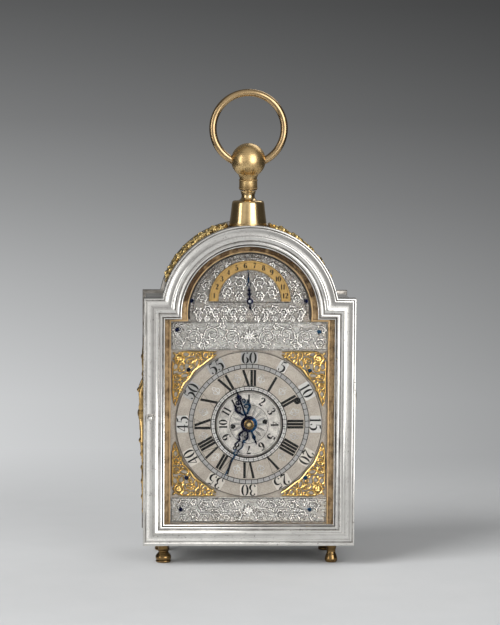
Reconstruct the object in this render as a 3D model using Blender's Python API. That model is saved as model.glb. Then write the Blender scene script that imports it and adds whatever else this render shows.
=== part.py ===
"""Travelling alarm clock with an arched case, two doors, a ring handle and its movement.

Metres, +Z up. The origin is on the floor under the middle of the case, and the dial faces -Y.
The dial sets the size: the case grows outward from the chapter ring.
"""
import math

import bmesh
import bpy
from mathutils import Vector

# Clearances
GAP = 0.0003

# Dial
CHAPTER_RADIUS = 0.0369
CHAPTER_INNER_RADIUS = 0.0167
CHAPTER_THICKNESS = 0.0012
ALARM_DISC_THICKNESS = 0.0011
SETTING_HOLE_RADIUS = 0.0013
SETTING_HOLE_DISTANCE = 0.0081
SETTING_HOLE_BEARING = math.radians(82)
DIAL_SIDE_MARGIN = 0.0025
LOWER_BAND_HEIGHT = 0.0126
UPPER_BAND_HEIGHT = 0.0142
BAND_THICKNESS = 0.0008
SPANDREL_THICKNESS = 0.0010
SPANDREL_SCALLOP = 0.0024
SPANDREL_NICK = 0.0004
SPANDREL_EYE_RADIUS = 0.0024
SPANDREL_SLOT_RADIUS = 0.0011
SPANDREL_SLOT_BEARING = math.radians(33)
DIAL_PLATE_THICKNESS = 0.0020
DIAL_FOOT_RADIUS = 0.0015
SCALE_MARGIN = 0.0038
SCALE_WIDTH = 0.0048
SCALE_THICKNESS = 0.0007
SCALE_LIFT = 0.0064
WINDING_HOLE_RADIUS = 0.00165
BARREL_DISTANCE = 0.0269
BARREL_BEARING = math.radians(64)

# Mask round the dial
MASK_SHOW = 0.0030
MASK_SILL = 0.0010
MASK_SHOULDER_SHOW = 0.0014
MASK_THICKNESS = 0.0019
MASK_LAP = 0.0046

# Door frame, from the outer edge inward
FILLET_WIDTH = 0.0012
HOLLOW_WIDTH = 0.0030
ROLL_WIDTH = 0.0026
STEP_WIDTH = 0.0012
CYMA_WIDTH = 0.0016
BEAD_WIDTH = 0.0010
GROOVE_DEPTH = 0.0009
# Depth of the outer hollow at the fillet, as a share of its depth at the roll
HOLLOW_LIP = 0.35
STEP_DEPTH = 0.0012
SIGHT_DEPTH = 0.0019
LIP_THICKNESS = 0.0008
LIP_WIDTH = 0.0024
DOOR_DEPTH = 0.0085
GLASS_THICKNESS = 0.0013
RETAINER_THICKNESS = 0.0008

# Case
SHOULDER_STEP = 0.0084
ARCH_DROP = 0.0083
SHELL_INSET = 0.0015
SHELL_WALL = 0.0025
FLANGE_THICKNESS = 0.0020
FLANGE_WIDTH = 0.0053
CASE_DEPTH = 0.0479
REAR_DOOR_DEPTH = 0.0050
REAR_PANEL_THICKNESS = 0.0012
BASE_THICKNESS = 0.0012
SOUND_OPENING_DEPTH = 0.0210
SOUND_OPENING_MARGIN = 0.0160
ARC_STEPS = 16

# Feet
FOOT_HEIGHT = 0.0102
FOOT_RADIUS = 0.0041
# Foot outlines as shares of the foot's radius and height, floor first
PEAR = [(0.0, 0.0), (0.90, 0.0), (0.98, 0.10), (0.72, 0.20), (0.84, 0.32), (1.0, 0.48), (0.88, 0.66),
        (0.60, 0.81), (0.82, 0.86), (0.82, 0.93), (0.66, 1.0), (0.0, 1.0)]
VASE = [(0.0, 0.0), (0.70, 0.0), (0.78, 0.10), (0.52, 0.22), (0.50, 0.32), (0.64, 0.50), (0.72, 0.68),
        (0.54, 0.82), (0.72, 0.87), (0.72, 0.94), (0.62, 1.0), (0.0, 1.0)]
FOOT_SIDE_INSET = 0.0105
FRONT_FOOT_INSET = 0.0058
REAR_FOOT_INSET = 0.0046

# Hinges and knobs
KNUCKLE_RADIUS = 0.0013
HINGE_PIN_RADIUS = 0.00055
HINGE_INSET = 0.0007
HINGE_LENGTH = 0.080
HINGE_KNUCKLES = 5
LEAF_THICKNESS = 0.0008
LEAF_WIDTH = 0.0022
KNOB_RADIUS = 0.0017
KNOB_REACH = 0.0036
KNOB_INSET = 0.0035
KNOB_HEIGHT = 0.0752

# Pendant and ring
SOCKET_BASE_RADIUS = 0.0096
SOCKET_TOP_RADIUS = 0.0082
SOCKET_HEIGHT = 0.0126
SOCKET_ROLL = 0.0010
NECK_RADIUS = 0.0035
NECK_HEIGHT = 0.0050
DRUM_RADIUS = 0.0050
DRUM_HEIGHT = 0.0064
DRUM_ROUNDING = 0.0009
STEM_RADIUS = 0.0020
STEM_LENGTH = 0.0090
BALL_RADIUS = 0.00875
BALL_FLAT = 0.0080
RING_RADIUS = 0.0181
RING_WIRE_RADIUS = 0.00187
RING_PIN_RADIUS = 0.0012
RING_PIN_LENGTH = 0.0040
RING_STEPS = 28

# Hands
HAND_THICKNESS = 0.00055
COLLET_THICKNESS = 0.0004
COLLET_RADIUS = 0.0026
MINUTE_HAND_LENGTH = 0.0308
HOUR_HAND_LENGTH = 0.0197
HOUR_TAIL_LENGTH = 0.0110
ARCH_HAND_OVERLAP = 0.0011
ARCH_TAIL_LENGTH = 0.0044
HOUR_HAND_BEARING = math.radians(339.2)
MINUTE_HAND_BEARING = math.radians(204.8)
ARCH_HAND_BEARING = math.radians(-3.8)

HOUR_BOSS_RADIUS = 0.0042
HOUR_HAND_HALF_WIDTH = 0.0038
HOUR_EYE_RADIUS = 0.0009
MINUTE_BOSS_RADIUS = 0.0032
MINUTE_HAND_HALF_WIDTH = 0.0022
MINUTE_EYE_RADIUS = 0.0011
MINUTE_SLOT_RADIUS = 0.0008
ARCH_BOSS_RADIUS = 0.0016
ARCH_HAND_HALF_WIDTH = 0.0010
# Outlines of the hands as shares of the tail's or the blade's length and of the hand's half width
HOUR_TAIL = [(-1.0, 0.03), (-0.80, 0.16), (-0.62, 0.37), (-0.50, 0.16)]
HOUR_BLADE = [(0.30, 0.26), (0.38, 0.79), (0.47, 1.0), (0.56, 0.89), (0.62, 0.37), (0.70, 0.53), (0.80, 0.24),
              (1.0, 0.03)]
MINUTE_BLADE = [(0.15, 0.36), (0.22, 1.0), (0.28, 1.0), (0.33, 0.45), (0.39, 0.91), (0.47, 0.77), (0.54, 0.32),
                (0.60, 0.41), (0.97, 0.14), (1.0, 0.05)]
ARCH_TAIL = [(-1.0, 0.3), (-0.8, 0.9), (-0.6, 0.5)]
ARCH_BLADE = [(0.3, 0.5), (0.7, 0.4), (0.8, 1.0), (1.0, 0.1)]

# Side and arch mounts
FRET_THICKNESS = 0.0010
FRET_BOSS_HEIGHT = 0.0022
FRET_HALF_WIDTH = 0.0150
FRET_TOP_MARGIN = 0.0120
FRET_FOOT_MARGIN = 0.0060
FRET_HOLE_RADIUS = 0.0026
# Openings as shares of the half height, of the half width and of the hole radius, and height over width
SIDE_FRET_HOLES = [(0.34, 0.52, 1.0, 1.9), (0.62, 0.42, 0.92, 1.7)]
SIDE_FRET_EYES = [(0.80, 0.85), (0.50, 0.77)]
ARCH_FRET_THICKNESS = 0.0026
ARCH_FRET_HALF_WIDTH = 0.0130
ARCH_FRET_START = math.radians(14)
ARCH_FRET_END = math.radians(72)
ARCH_FRET_HOLES = [(0.16, 0.42, 1.0), (0.38, 0.46, 1.08), (0.60, 0.36, 0.85)]
ARCH_FRET_EYE = (0.80, 0.77)

# Movement
PLATE_THICKNESS = 0.0018
PLATE_HALF_WIDTH = 0.0400
PLATE_HEIGHT = 0.1030
MOTION_WORK_ROOM = 0.0075
BELL_ROOM = 0.0091
PILLAR_RADIUS = 0.0025
PILLAR_INSET = 0.0055
CENTRE_ARBOR_RADIUS = 0.0010
CANNON_PIPE_RADIUS = 0.0016
HOUR_PIPE_RADIUS = 0.0026
MOTION_CENTRES = 0.0120
MOTION_BEARING = math.radians(250)
CANNON_LEAVES = 10
MINUTE_WHEEL_TEETH = 30
MINUTE_PINION_LEAVES = 8
HOUR_WHEEL_TEETH = 32
MOTION_WHEEL_CLEARANCE = 0.0014
HOUR_WHEEL_CLEARANCE = 0.0011
MOTION_STUD_MARGIN = 0.0012
BARREL_TEETH = 56
CENTRE_PINION_LEAVES = 7
CENTRE_WHEEL_TEETH = 56
THIRD_PINION_LEAVES = 7
THIRD_CENTRES = 0.0180
THIRD_BEARING = math.radians(305)
THIRD_WHEEL_RADIUS = 0.0125
THIRD_HUB_RADIUS = 0.0035
CENTRE_HUB_RADIUS = 0.0042
WHEEL_THICKNESS = 0.0012
WHEEL_RIM_WIDTH = 0.0020
PINION_LENGTH = 0.0028
BARREL_CLEARANCE = 0.0020
CENTRE_WHEEL_CLEARANCE = 0.0012
TOOTH_ROOT = 1.10
TOOTH_TIP = 0.75
BARREL_DRUM_RADIUS = 0.0200
BARREL_DRUM_ROOM = 0.0056
BARREL_ARBOR_RADIUS = 0.0012
ALARM_BARREL_RADIUS = 0.0125
ALARM_BARREL_CLEARANCE = 0.0004
ALARM_BARREL_OFFSET = (-0.0230, -0.0300)
BELL_RADIUS = 0.0190
BELL_DEPTH = 0.0070
BELL_WALL = 0.0008
BELL_LIFT = 0.0240
BELL_CLEARANCE = 0.0012
ALARM_ARBOR_REACH = 0.0030
HAMMER_OFFSET = (0.0300, -0.0060)
HAMMER_HEAD_RADIUS = 0.0022
HAMMER_HEAD_REACH = 0.0018
HAMMER_REST_ROOM = 0.0018
HAMMER_THICKNESS = 0.0012
HAMMER_ARM_HALF_WIDTH = 0.0008
HAMMER_STUD_LENGTH = 0.0040
BALANCE_RADIUS = 0.0090
BALANCE_HUB_RADIUS = 0.0016
BALANCE_RIM_WIDTH = 0.0014
STAFF_RADIUS = 0.0005
STAFF_REACH = 0.0030
BALANCE_LIFT = 0.0035
PLATFORM_THICKNESS = 0.0015
PLATFORM_HALF_WIDTH = 0.0150
COCK_THICKNESS = 0.0015
COCK_HALF_WIDTH = 0.0040
COCK_ARM_HALF_WIDTH = 0.0030

# What follows from the driving sizes
ROLL_END = FILLET_WIDTH + HOLLOW_WIDTH + ROLL_WIDTH
FRAME_WIDTH = ROLL_END + STEP_WIDTH + CYMA_WIDTH + BEAD_WIDTH
BAND_HALF_WIDTH = CHAPTER_RADIUS + DIAL_SIDE_MARGIN - GAP
HALF_WIDTH = CHAPTER_RADIUS + DIAL_SIDE_MARGIN + MASK_SHOW + FRAME_WIDTH
OUTLINE_BOTTOM = FOOT_HEIGHT + GAP
SIGHT_BOTTOM = OUTLINE_BOTTOM + FRAME_WIDTH
LOWER_BAND_BOTTOM = SIGHT_BOTTOM + GAP
DIAL_CENTRE = LOWER_BAND_BOTTOM + LOWER_BAND_HEIGHT + GAP + CHAPTER_RADIUS
UPPER_BAND_BOTTOM = DIAL_CENTRE + CHAPTER_RADIUS + GAP
UPPER_BAND_TOP = UPPER_BAND_BOTTOM + UPPER_BAND_HEIGHT
MASK_SHOULDER = UPPER_BAND_TOP + GAP
SHOULDER = MASK_SHOULDER + MASK_SHOULDER_SHOW + FRAME_WIDTH
ARCH_CENTRE = SHOULDER - ARCH_DROP
ARCH_RADIUS = HALF_WIDTH - SHOULDER_STEP
SCALE_CENTRE = ARCH_CENTRE + SCALE_LIFT
ARCH_PLATE_RADIUS = ARCH_RADIUS - FRAME_WIDTH - MASK_SHOW - GAP
SCALE_OUTER_RADIUS = ARCH_PLATE_RADIUS - SCALE_LIFT - SCALE_MARGIN
SCALE_INNER_RADIUS = SCALE_OUTER_RADIUS - SCALE_WIDTH
ARCH_HAND_LENGTH = SCALE_INNER_RADIUS + ARCH_HAND_OVERLAP

TOTAL_DEPTH = DOOR_DEPTH + GAP + CASE_DEPTH + GAP + REAR_DOOR_DEPTH
FRONT = -TOTAL_DEPTH / 2
CASE_FRONT = FRONT + DOOR_DEPTH + GAP
CASE_BACK = CASE_FRONT + CASE_DEPTH
REAR = TOTAL_DEPTH / 2
LIP_BACK = FRONT + SIGHT_DEPTH + LIP_THICKNESS
GLASS_FRONT = LIP_BACK + GAP
GLASS_BACK = GLASS_FRONT + GLASS_THICKNESS
DIAL_FRONT = CASE_FRONT - GAP
DIAL_BACK = DIAL_FRONT + DIAL_PLATE_THICKNESS
APPLIED_BACK = DIAL_FRONT - GAP
RING_FRONT = APPLIED_BACK - CHAPTER_THICKNESS
SHELL_RADIUS = ARCH_RADIUS - SHELL_INSET
SHELL_SIDE = HALF_WIDTH - SHELL_INSET
SHELL_BOTTOM = OUTLINE_BOTTOM + SHELL_INSET
FLOOR = SHELL_BOTTOM + SHELL_WALL
PLATE_BOTTOM = FLOOR + GAP
PLATE_TOP = PLATE_BOTTOM + PLATE_HEIGHT
FRONT_PLATE = DIAL_BACK + MOTION_WORK_ROOM
FRONT_PLATE_BACK = FRONT_PLATE + PLATE_THICKNESS
BACK_PLATE_BACK = CASE_BACK - BELL_ROOM
BACK_PLATE = BACK_PLATE_BACK - PLATE_THICKNESS
PLATE_SPACING = BACK_PLATE - FRONT_PLATE_BACK
SOCKET_TOP = ARCH_CENTRE + SHELL_RADIUS + SOCKET_HEIGHT
DRUM_BOTTOM = SOCKET_TOP + NECK_HEIGHT + GAP
BALL_CENTRE = DRUM_BOTTOM + DRUM_HEIGHT + BALL_RADIUS
RING_END = BALL_FLAT + GAP
RING_CENTRE = BALL_CENTRE + math.sqrt(RING_RADIUS ** 2 - RING_END ** 2)
BARREL_AXIS = (BARREL_DISTANCE * math.sin(BARREL_BEARING),
               DIAL_CENTRE + BARREL_DISTANCE * math.cos(BARREL_BEARING))
MOTION_AXIS = (MOTION_CENTRES * math.sin(MOTION_BEARING),
               DIAL_CENTRE + MOTION_CENTRES * math.cos(MOTION_BEARING))
THIRD_AXIS = (THIRD_CENTRES * math.sin(THIRD_BEARING),
              DIAL_CENTRE + THIRD_CENTRES * math.cos(THIRD_BEARING))
ALARM_AXIS = (ALARM_BARREL_OFFSET[0], DIAL_CENTRE + ALARM_BARREL_OFFSET[1])
HAMMER_AXIS = (HAMMER_OFFSET[0], DIAL_CENTRE + HAMMER_OFFSET[1])
BELL_AXIS = (0.0, DIAL_CENTRE + BELL_LIFT)
HOUR_HAND_BACK = RING_FRONT - GAP
HOUR_HAND_FRONT = HOUR_HAND_BACK - HAND_THICKNESS
MINUTE_HAND_BACK = HOUR_HAND_FRONT - GAP
MINUTE_HAND_FRONT = MINUTE_HAND_BACK - HAND_THICKNESS
COLLET_BACK = MINUTE_HAND_FRONT - GAP
CENTRE_ARBOR_END = COLLET_BACK - COLLET_THICKNESS

FINISHES = {
    "silver": ((0.78, 0.76, 0.72), 1.0, 0.30),
    "gilt": ((0.83, 0.62, 0.30), 1.0, 0.32),
    "silvered": ((0.80, 0.78, 0.74), 1.0, 0.42),
    "blued_steel": ((0.03, 0.06, 0.16), 1.0, 0.25),
    "brass": ((0.72, 0.55, 0.25), 1.0, 0.35),
    "steel": ((0.55, 0.55, 0.57), 1.0, 0.30),
    "bell_metal": ((0.70, 0.60, 0.42), 1.0, 0.30),
    "glass": ((0.92, 0.95, 0.95), 0.0, 0.05),
}


# Scene, materials and finishing
def clear_scene():
    for old in list(bpy.data.objects):
        bpy.data.objects.remove(old, do_unlink=True)


def finish(name):
    """The Principled material of this name, made once."""
    found = bpy.data.materials.get(name)
    if found:
        return found
    colour, metallic, roughness = FINISHES[name]
    made = bpy.data.materials.new(name)
    made.use_nodes = True
    shader = made.node_tree.nodes["Principled BSDF"]
    shader.inputs["Base Color"].default_value = (*colour, 1.0)
    shader.inputs["Metallic"].default_value = metallic
    shader.inputs["Roughness"].default_value = roughness
    if name == "glass":
        shader.inputs["Transmission Weight"].default_value = 1.0
    return made


def to_object(name, body, finish_name, place=(0.0, 0.0, 0.0)):
    """Makes an object of a bmesh whose faces point outward, shaded smooth between its edges."""
    bmesh.ops.recalc_face_normals(body, faces=body.faces)
    if body.calc_volume(signed=True) < 0:
        bmesh.ops.reverse_faces(body, faces=body.faces)
    mesh = bpy.data.meshes.new(name)
    body.to_mesh(mesh)
    body.free()
    mesh.shade_smooth()
    mesh.set_sharp_from_angle(angle=math.radians(35))
    mesh.materials.append(finish(finish_name))
    made = bpy.data.objects.new(name, mesh)
    made.location = place
    bpy.context.scene.collection.objects.link(made)
    return made


def combine(target, tool, operation):
    """Joins or cuts the target with the tool, and removes the tool."""
    bpy.context.view_layer.update()
    change = target.modifiers.new("combine", "BOOLEAN")
    change.operation = operation
    change.solver = "EXACT"
    change.object = tool
    graph = bpy.context.evaluated_depsgraph_get()
    result = bpy.data.meshes.new_from_object(target.evaluated_get(graph))
    target.modifiers.clear()
    old = target.data
    materials = list(old.materials)
    target.data = result
    result.materials.clear()
    for item in materials:
        result.materials.append(item)
    result.shade_smooth()
    result.set_sharp_from_angle(angle=math.radians(35))
    bpy.data.meshes.remove(old)
    bpy.data.objects.remove(tool, do_unlink=True)
    return target


def join(target, *tools):
    for tool in tools:
        combine(target, tool, "UNION")
    return target


def cut(target, *tools):
    for tool in tools:
        combine(target, tool, "DIFFERENCE")
    return target


def hang_on(axis_name, place, *pieces):
    """An empty on a joint's axis that carries the pieces of the moving body."""
    axis = bpy.data.objects.new(axis_name, None)
    axis.location = place
    bpy.context.scene.collection.objects.link(axis)
    for piece in pieces:
        piece.parent = axis
        piece.location = Vector(piece.location) - Vector(place)
    return axis


# Basic forms
def box(name, low, high, finish_name="brass"):
    body = bmesh.new()
    bmesh.ops.create_cube(body, size=1.0)
    low, high = Vector(low), Vector(high)
    for vert in body.verts:
        vert.co = Vector((low[i] + (vert.co[i] + 0.5) * (high[i] - low[i]) for i in range(3)))
    return to_object(name, body, finish_name)


def turned(name, profile, finish_name, place=(0.0, 0.0, 0.0), axis="Z", sides=20):
    """Turns (radius, height) points about an axis. A profile whose ends are off the axis is a ring."""
    body = bmesh.new()
    rings = []
    for radius, height in profile:
        count = 1 if radius < 1e-7 else sides
        ring = []
        for i in range(count):
            angle = 2 * math.pi * (i + 0.5) / sides
            across, up = radius * math.cos(angle), radius * math.sin(angle)
            if axis == "Z":
                point = (across, up, height)
            elif axis == "Y":
                point = (across, height, up)
            else:
                point = (height, across, up)
            ring.append(body.verts.new(point))
        rings.append(ring)
    if len(rings[0]) > 1:
        rings.append(rings[0])
    for lower, upper in zip(rings, rings[1:]):
        for i in range(sides):
            j = (i + 1) % sides
            corners = [lower[i % len(lower)], lower[j % len(lower)],
                       upper[j % len(upper)], upper[i % len(upper)]]
            unique = list(dict.fromkeys(corners))
            if len(unique) > 2:
                body.faces.new(unique)
    return to_object(name, body, finish_name, place)


def rod(name, radius, low, high, finish_name="brass", place=(0.0, 0.0, 0.0), axis="Y", sides=12):
    return turned(name, [(0, low), (radius, low), (radius, high), (0, high)], finish_name, place, axis, sides)


def plate(name, loops, low, high, finish_name, place=(0.0, 0.0, 0.0), axis="Y"):
    """A flat plate from its outline and holes, as closed loops of 2D points, thick along the axis."""
    body = bmesh.new()
    edges = []
    for loop in loops:
        verts = [body.verts.new(on_axis(u, v, low, axis)) for u, v in loop]
        edges += [body.edges.new((a, b)) for a, b in zip(verts, verts[1:] + verts[:1])]
    bmesh.ops.triangle_fill(body, edges=edges, use_beauty=True)
    faces = list(body.faces)
    moved = bmesh.ops.extrude_face_region(body, geom=faces, use_keep_orig=True)
    shift = Vector(on_axis(0.0, 0.0, high - low, axis))
    for item in moved["geom"]:
        if isinstance(item, bmesh.types.BMVert):
            item.co += shift
    return to_object(name, body, finish_name, place)


def on_axis(u, v, along, axis):
    """A 2D point of a plate's face, at a distance along the plate's axis."""
    return {"Y": (u, along, v), "X": (along, u, v), "Z": (u, v, along)}[axis]


def circle(radius, steps, centre=(0.0, 0.0), tall=1.0, turn=0.0):
    """Points round a circle, or an ellipse where tall is not 1."""
    points = []
    for i in range(steps):
        angle = 2 * math.pi * i / steps
        u, v = radius * math.sin(angle), radius * tall * math.cos(angle)
        points.append((centre[0] + u * math.cos(turn) + v * math.sin(turn),
                       centre[1] - u * math.sin(turn) + v * math.cos(turn)))
    return points


def bow(start, end, sag, steps):
    """Points from start to end on a curve that stands off the straight line by sag, without the start."""
    points = []
    for i in range(1, steps + 1):
        share = i / steps
        rise = 4 * sag * share * (1 - share)
        points.append((start[0] + (end[0] - start[0]) * share, start[1] + (end[1] - start[1]) * share + rise))
    return points


# The arched outline
def arched(half_width, bottom, shoulder, radius, steps=ARC_STEPS):
    """Outline of the case seen from the front: straight sides, level shoulders and a round arch."""
    start = math.asin((shoulder - ARCH_CENTRE) / radius)
    points = [(-half_width, bottom), (-half_width, shoulder)]
    for i in range(steps + 1):
        angle = math.pi - start - (math.pi - 2 * start) * i / steps
        points.append((radius * math.cos(angle), ARCH_CENTRE + radius * math.sin(angle)))
    return points + [(half_width, shoulder), (half_width, bottom)]


def inside_outline(inset):
    """The doors' outline drawn in by an inset."""
    return arched(HALF_WIDTH - inset, OUTLINE_BOTTOM + inset, SHOULDER - inset, ARCH_RADIUS - inset)


def mitred_frame(name, section, finish_name):
    """Carries a section of (inset, y) points round the arched outline."""
    body = bmesh.new()
    rings = [[body.verts.new((x, y, z)) for x, z in inside_outline(inset)] for inset, y in section]
    for one, other in zip(rings, rings[1:] + rings[:1]):
        for i in range(len(one)):
            j = (i + 1) % len(one)
            body.faces.new((one[i], one[j], other[j], other[i]))
    return to_object(name, body, finish_name)


# Doors
def hollow_depth(inset):
    """How far the door's outer hollow lies behind the front plane, at an inset. It is deepest at the roll."""
    share = (inset - FILLET_WIDTH) / HOLLOW_WIDTH
    return GROOVE_DEPTH * (1 - (1 - HOLLOW_LIP) * (1 - share) ** 2)


def moulding():
    """The moulded face of the front door as (inset, depth) points, outer edge first."""
    edge = GROOVE_DEPTH / 3
    roll = FILLET_WIDTH + HOLLOW_WIDTH
    step = ROLL_END + STEP_WIDTH
    bead = step + CYMA_WIDTH
    points = [(0.0, edge), (edge, 0.0), (FILLET_WIDTH - edge, 0.0)]
    points += [(inset, hollow_depth(inset)) for inset in (FILLET_WIDTH, FILLET_WIDTH + HOLLOW_WIDTH / 2, roll)]
    points += [(roll + edge, edge)] + bow((roll + edge, edge), (ROLL_END, GROOVE_DEPTH / 2), -edge, 2)
    points += [(ROLL_END + edge, STEP_DEPTH), (step, STEP_DEPTH)]
    points += bow((step, STEP_DEPTH), (bead, SIGHT_DEPTH), -edge / 2, 2)
    points += bow((bead, SIGHT_DEPTH), (FRAME_WIDTH, SIGHT_DEPTH), -BEAD_WIDTH / 3, 3)
    return points


def front_door():
    rebate = FRAME_WIDTH - LIP_WIDTH
    section = [(inset, FRONT + depth) for inset, depth in moulding()]
    section += [(FRAME_WIDTH, LIP_BACK), (rebate, LIP_BACK), (rebate, FRONT + DOOR_DEPTH), (0.0, FRONT + DOOR_DEPTH)]
    frame = mitred_frame("front_door_frame", section, "silver")
    glass = plate("front_door_glass", [inside_outline(rebate + GAP)], GLASS_FRONT, GLASS_BACK, "glass")
    back = GLASS_BACK + GAP
    front = [(rebate + GAP, back), (FRAME_WIDTH - GAP, back)]
    section = front + [(inset, y + RETAINER_THICKNESS) for inset, y in reversed(front)]
    retainer = mitred_frame("glass_retainer", section, "silver")
    seat = FRONT + hollow_depth(KNOB_INSET) - GAP
    knob = small_knob("front_door_knob", seat, FRONT - KNOB_REACH, -(HALF_WIDTH - KNOB_INSET))
    hinge = door_hinge("front", frame, CASE_FRONT - GAP / 2, -1)
    hang_on("front_door_axis", hinge["axis"], frame, glass, retainer, knob, hinge["door_leaf"])
    return hinge


def rear_door():
    rebate = FRAME_WIDTH - LIP_WIDTH
    face = [(0.0, REAR - GROOVE_DEPTH), (GROOVE_DEPTH, REAR), (ROLL_END, REAR)]
    face += bow((ROLL_END, REAR), (FRAME_WIDTH, REAR - SIGHT_DEPTH), 0.0004, 3)
    lip = REAR - SIGHT_DEPTH - LIP_THICKNESS
    inner = CASE_BACK + GAP
    section = face + [(FRAME_WIDTH, lip), (rebate, lip), (rebate, inner), (0.0, inner)]
    frame = mitred_frame("rear_door_frame", section, "silver")
    panel = plate("rear_door_panel", [inside_outline(rebate + GAP)],
                  lip - GAP - REAR_PANEL_THICKNESS, lip - GAP, "silver")
    knob = small_knob("rear_door_knob", REAR + GAP, REAR + KNOB_REACH, -(HALF_WIDTH - KNOB_INSET))
    hinge = door_hinge("rear", frame, CASE_BACK + GAP / 2, 1)
    hang_on("rear_door_axis", hinge["axis"], frame, panel, knob, hinge["door_leaf"])
    return hinge


def small_knob(name, seat, tip, x):
    """A ball knob on a short stem, from its seat on the frame to its tip."""
    way = 1 if tip > seat else -1
    centre = tip - way * KNOB_RADIUS
    profile = [(0.0, seat), (KNOB_RADIUS / 2, seat)]
    for i in range(1, 5):
        angle = math.pi * (i + 0.3) / 5.2
        profile.append((KNOB_RADIUS * math.sin(angle), centre - way * KNOB_RADIUS * math.cos(angle)))
    profile.append((0.0, tip))
    return turned(name, profile, "silver", (x, 0.0, KNOB_HEIGHT), "Y", 10)


def door_hinge(side, frame, seam, way):
    """The hinge of one door on the case's right side. The seam is the joint's y, and way points to the door."""
    x = HALF_WIDTH - HINGE_INSET
    low = (OUTLINE_BOTTOM + SHOULDER - HINGE_LENGTH) / 2
    pitch = HINGE_LENGTH / HINGE_KNUCKLES
    clear = KNUCKLE_RADIUS + GAP
    case_side = SHELL_SIDE
    leaves = {}
    for owner, outer, toward in (("door", HALF_WIDTH, way), ("case", case_side, -way)):
        start = seam + toward * (clear + GAP)
        end = start + toward * LEAF_WIDTH
        leaf = box(f"{side}_hinge_{owner}_leaf", (outer - LEAF_THICKNESS, min(start, end), low),
                   (outer, max(start, end), low + HINGE_LENGTH - GAP), "silver")
        first = 1 if owner == "door" else 0
        for n in range(first, HINGE_KNUCKLES, 2):
            z = low + n * pitch
            top = z + pitch - GAP
            web_end = start + toward * GAP
            web = box("web", (outer - LEAF_THICKNESS, min(seam, web_end), z),
                      (outer, max(seam, web_end), top))
            knuckle = rod("knuckle", KNUCKLE_RADIUS, z, top, place=(x, seam, 0.0), axis="Z", sides=10)
            join(knuckle, web)
            join(leaf, knuckle)
        bore = rod("bore", HINGE_PIN_RADIUS + GAP, low - pitch, low + HINGE_LENGTH + pitch,
                   place=(x, seam, 0.0), axis="Z", sides=8)
        leaves[f"{owner}_leaf"] = cut(leaf, bore)
    pin = rod(f"{side}_hinge_pin", HINGE_PIN_RADIUS, low, low + HINGE_LENGTH - GAP, "steel",
              (x, seam, 0.0), "Z", 8)
    ends = (low - GAP, low + HINGE_LENGTH)
    for target, outer, toward in ((frame, HALF_WIDTH, way), (None, case_side, -way)):
        start = seam + toward * clear
        end = start + toward * (LEAF_WIDTH + 3 * GAP)
        barrel = rod("barrel_room", clear, ends[0], ends[1], place=(x, seam, 0.0), axis="Z", sides=16)
        recess = box("leaf_room", (outer - LEAF_THICKNESS - GAP, min(seam, end), ends[0]),
                     (outer + KNUCKLE_RADIUS, max(seam, end), ends[1]))
        if target:
            cut(target, join(barrel, recess))
        else:
            leaves["case_room"] = join(barrel, recess)
    leaves["axis"] = (x, seam, 0.0)
    leaves["pin"] = pin
    return leaves


# Case
def case_shell(front_hinge, rear_hinge):
    """The arched shell: a channel section carried round the outline, open at the front and the back."""
    inner = SHELL_INSET + SHELL_WALL
    lip = inner + FLANGE_WIDTH
    section = [(SHELL_INSET, CASE_FRONT), (lip, CASE_FRONT), (lip, CASE_FRONT + FLANGE_THICKNESS),
               (inner, CASE_FRONT + FLANGE_THICKNESS), (inner, CASE_BACK - FLANGE_THICKNESS),
               (lip, CASE_BACK - FLANGE_THICKNESS), (lip, CASE_BACK), (SHELL_INSET, CASE_BACK)]
    shell = mitred_frame("case_shell", section, "silver")
    cut(shell, front_hinge["case_room"], rear_hinge["case_room"])
    middle = (CASE_FRONT + CASE_BACK) / 2
    opening = box("sound_opening", (-HALF_WIDTH, middle - SOUND_OPENING_DEPTH / 2, FLOOR + SOUND_OPENING_MARGIN),
                  (HALF_WIDTH, middle + SOUND_OPENING_DEPTH / 2, SHOULDER - SOUND_OPENING_MARGIN - SHELL_WALL))
    cut(shell, opening)
    bore = rod("stem_bore", STEM_RADIUS + GAP, ARCH_CENTRE, SOCKET_TOP, axis="Z")
    return cut(shell, bore)


def base_and_feet():
    top = SHELL_BOTTOM - GAP
    box("base_plate", (-SHELL_SIDE, CASE_FRONT, top - BASE_THICKNESS), (SHELL_SIDE, CASE_BACK, top), "silver")
    x = HALF_WIDTH - FOOT_SIDE_INSET
    front, rear = CASE_FRONT + FRONT_FOOT_INSET, CASE_BACK - REAR_FOOT_INSET
    foot("foot_front_left", (-x, front, 0.0), PEAR)
    foot("foot_front_right", (x, front, 0.0), VASE)
    foot("foot_rear_left", (-x, rear, 0.0), PEAR)
    foot("foot_rear_right", (x, rear, 0.0), PEAR)


def foot(name, place, outline):
    profile = [(radius * FOOT_RADIUS, height * FOOT_HEIGHT) for radius, height in outline]
    turned(name, profile, "gilt", place, "Z", 12)


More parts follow.
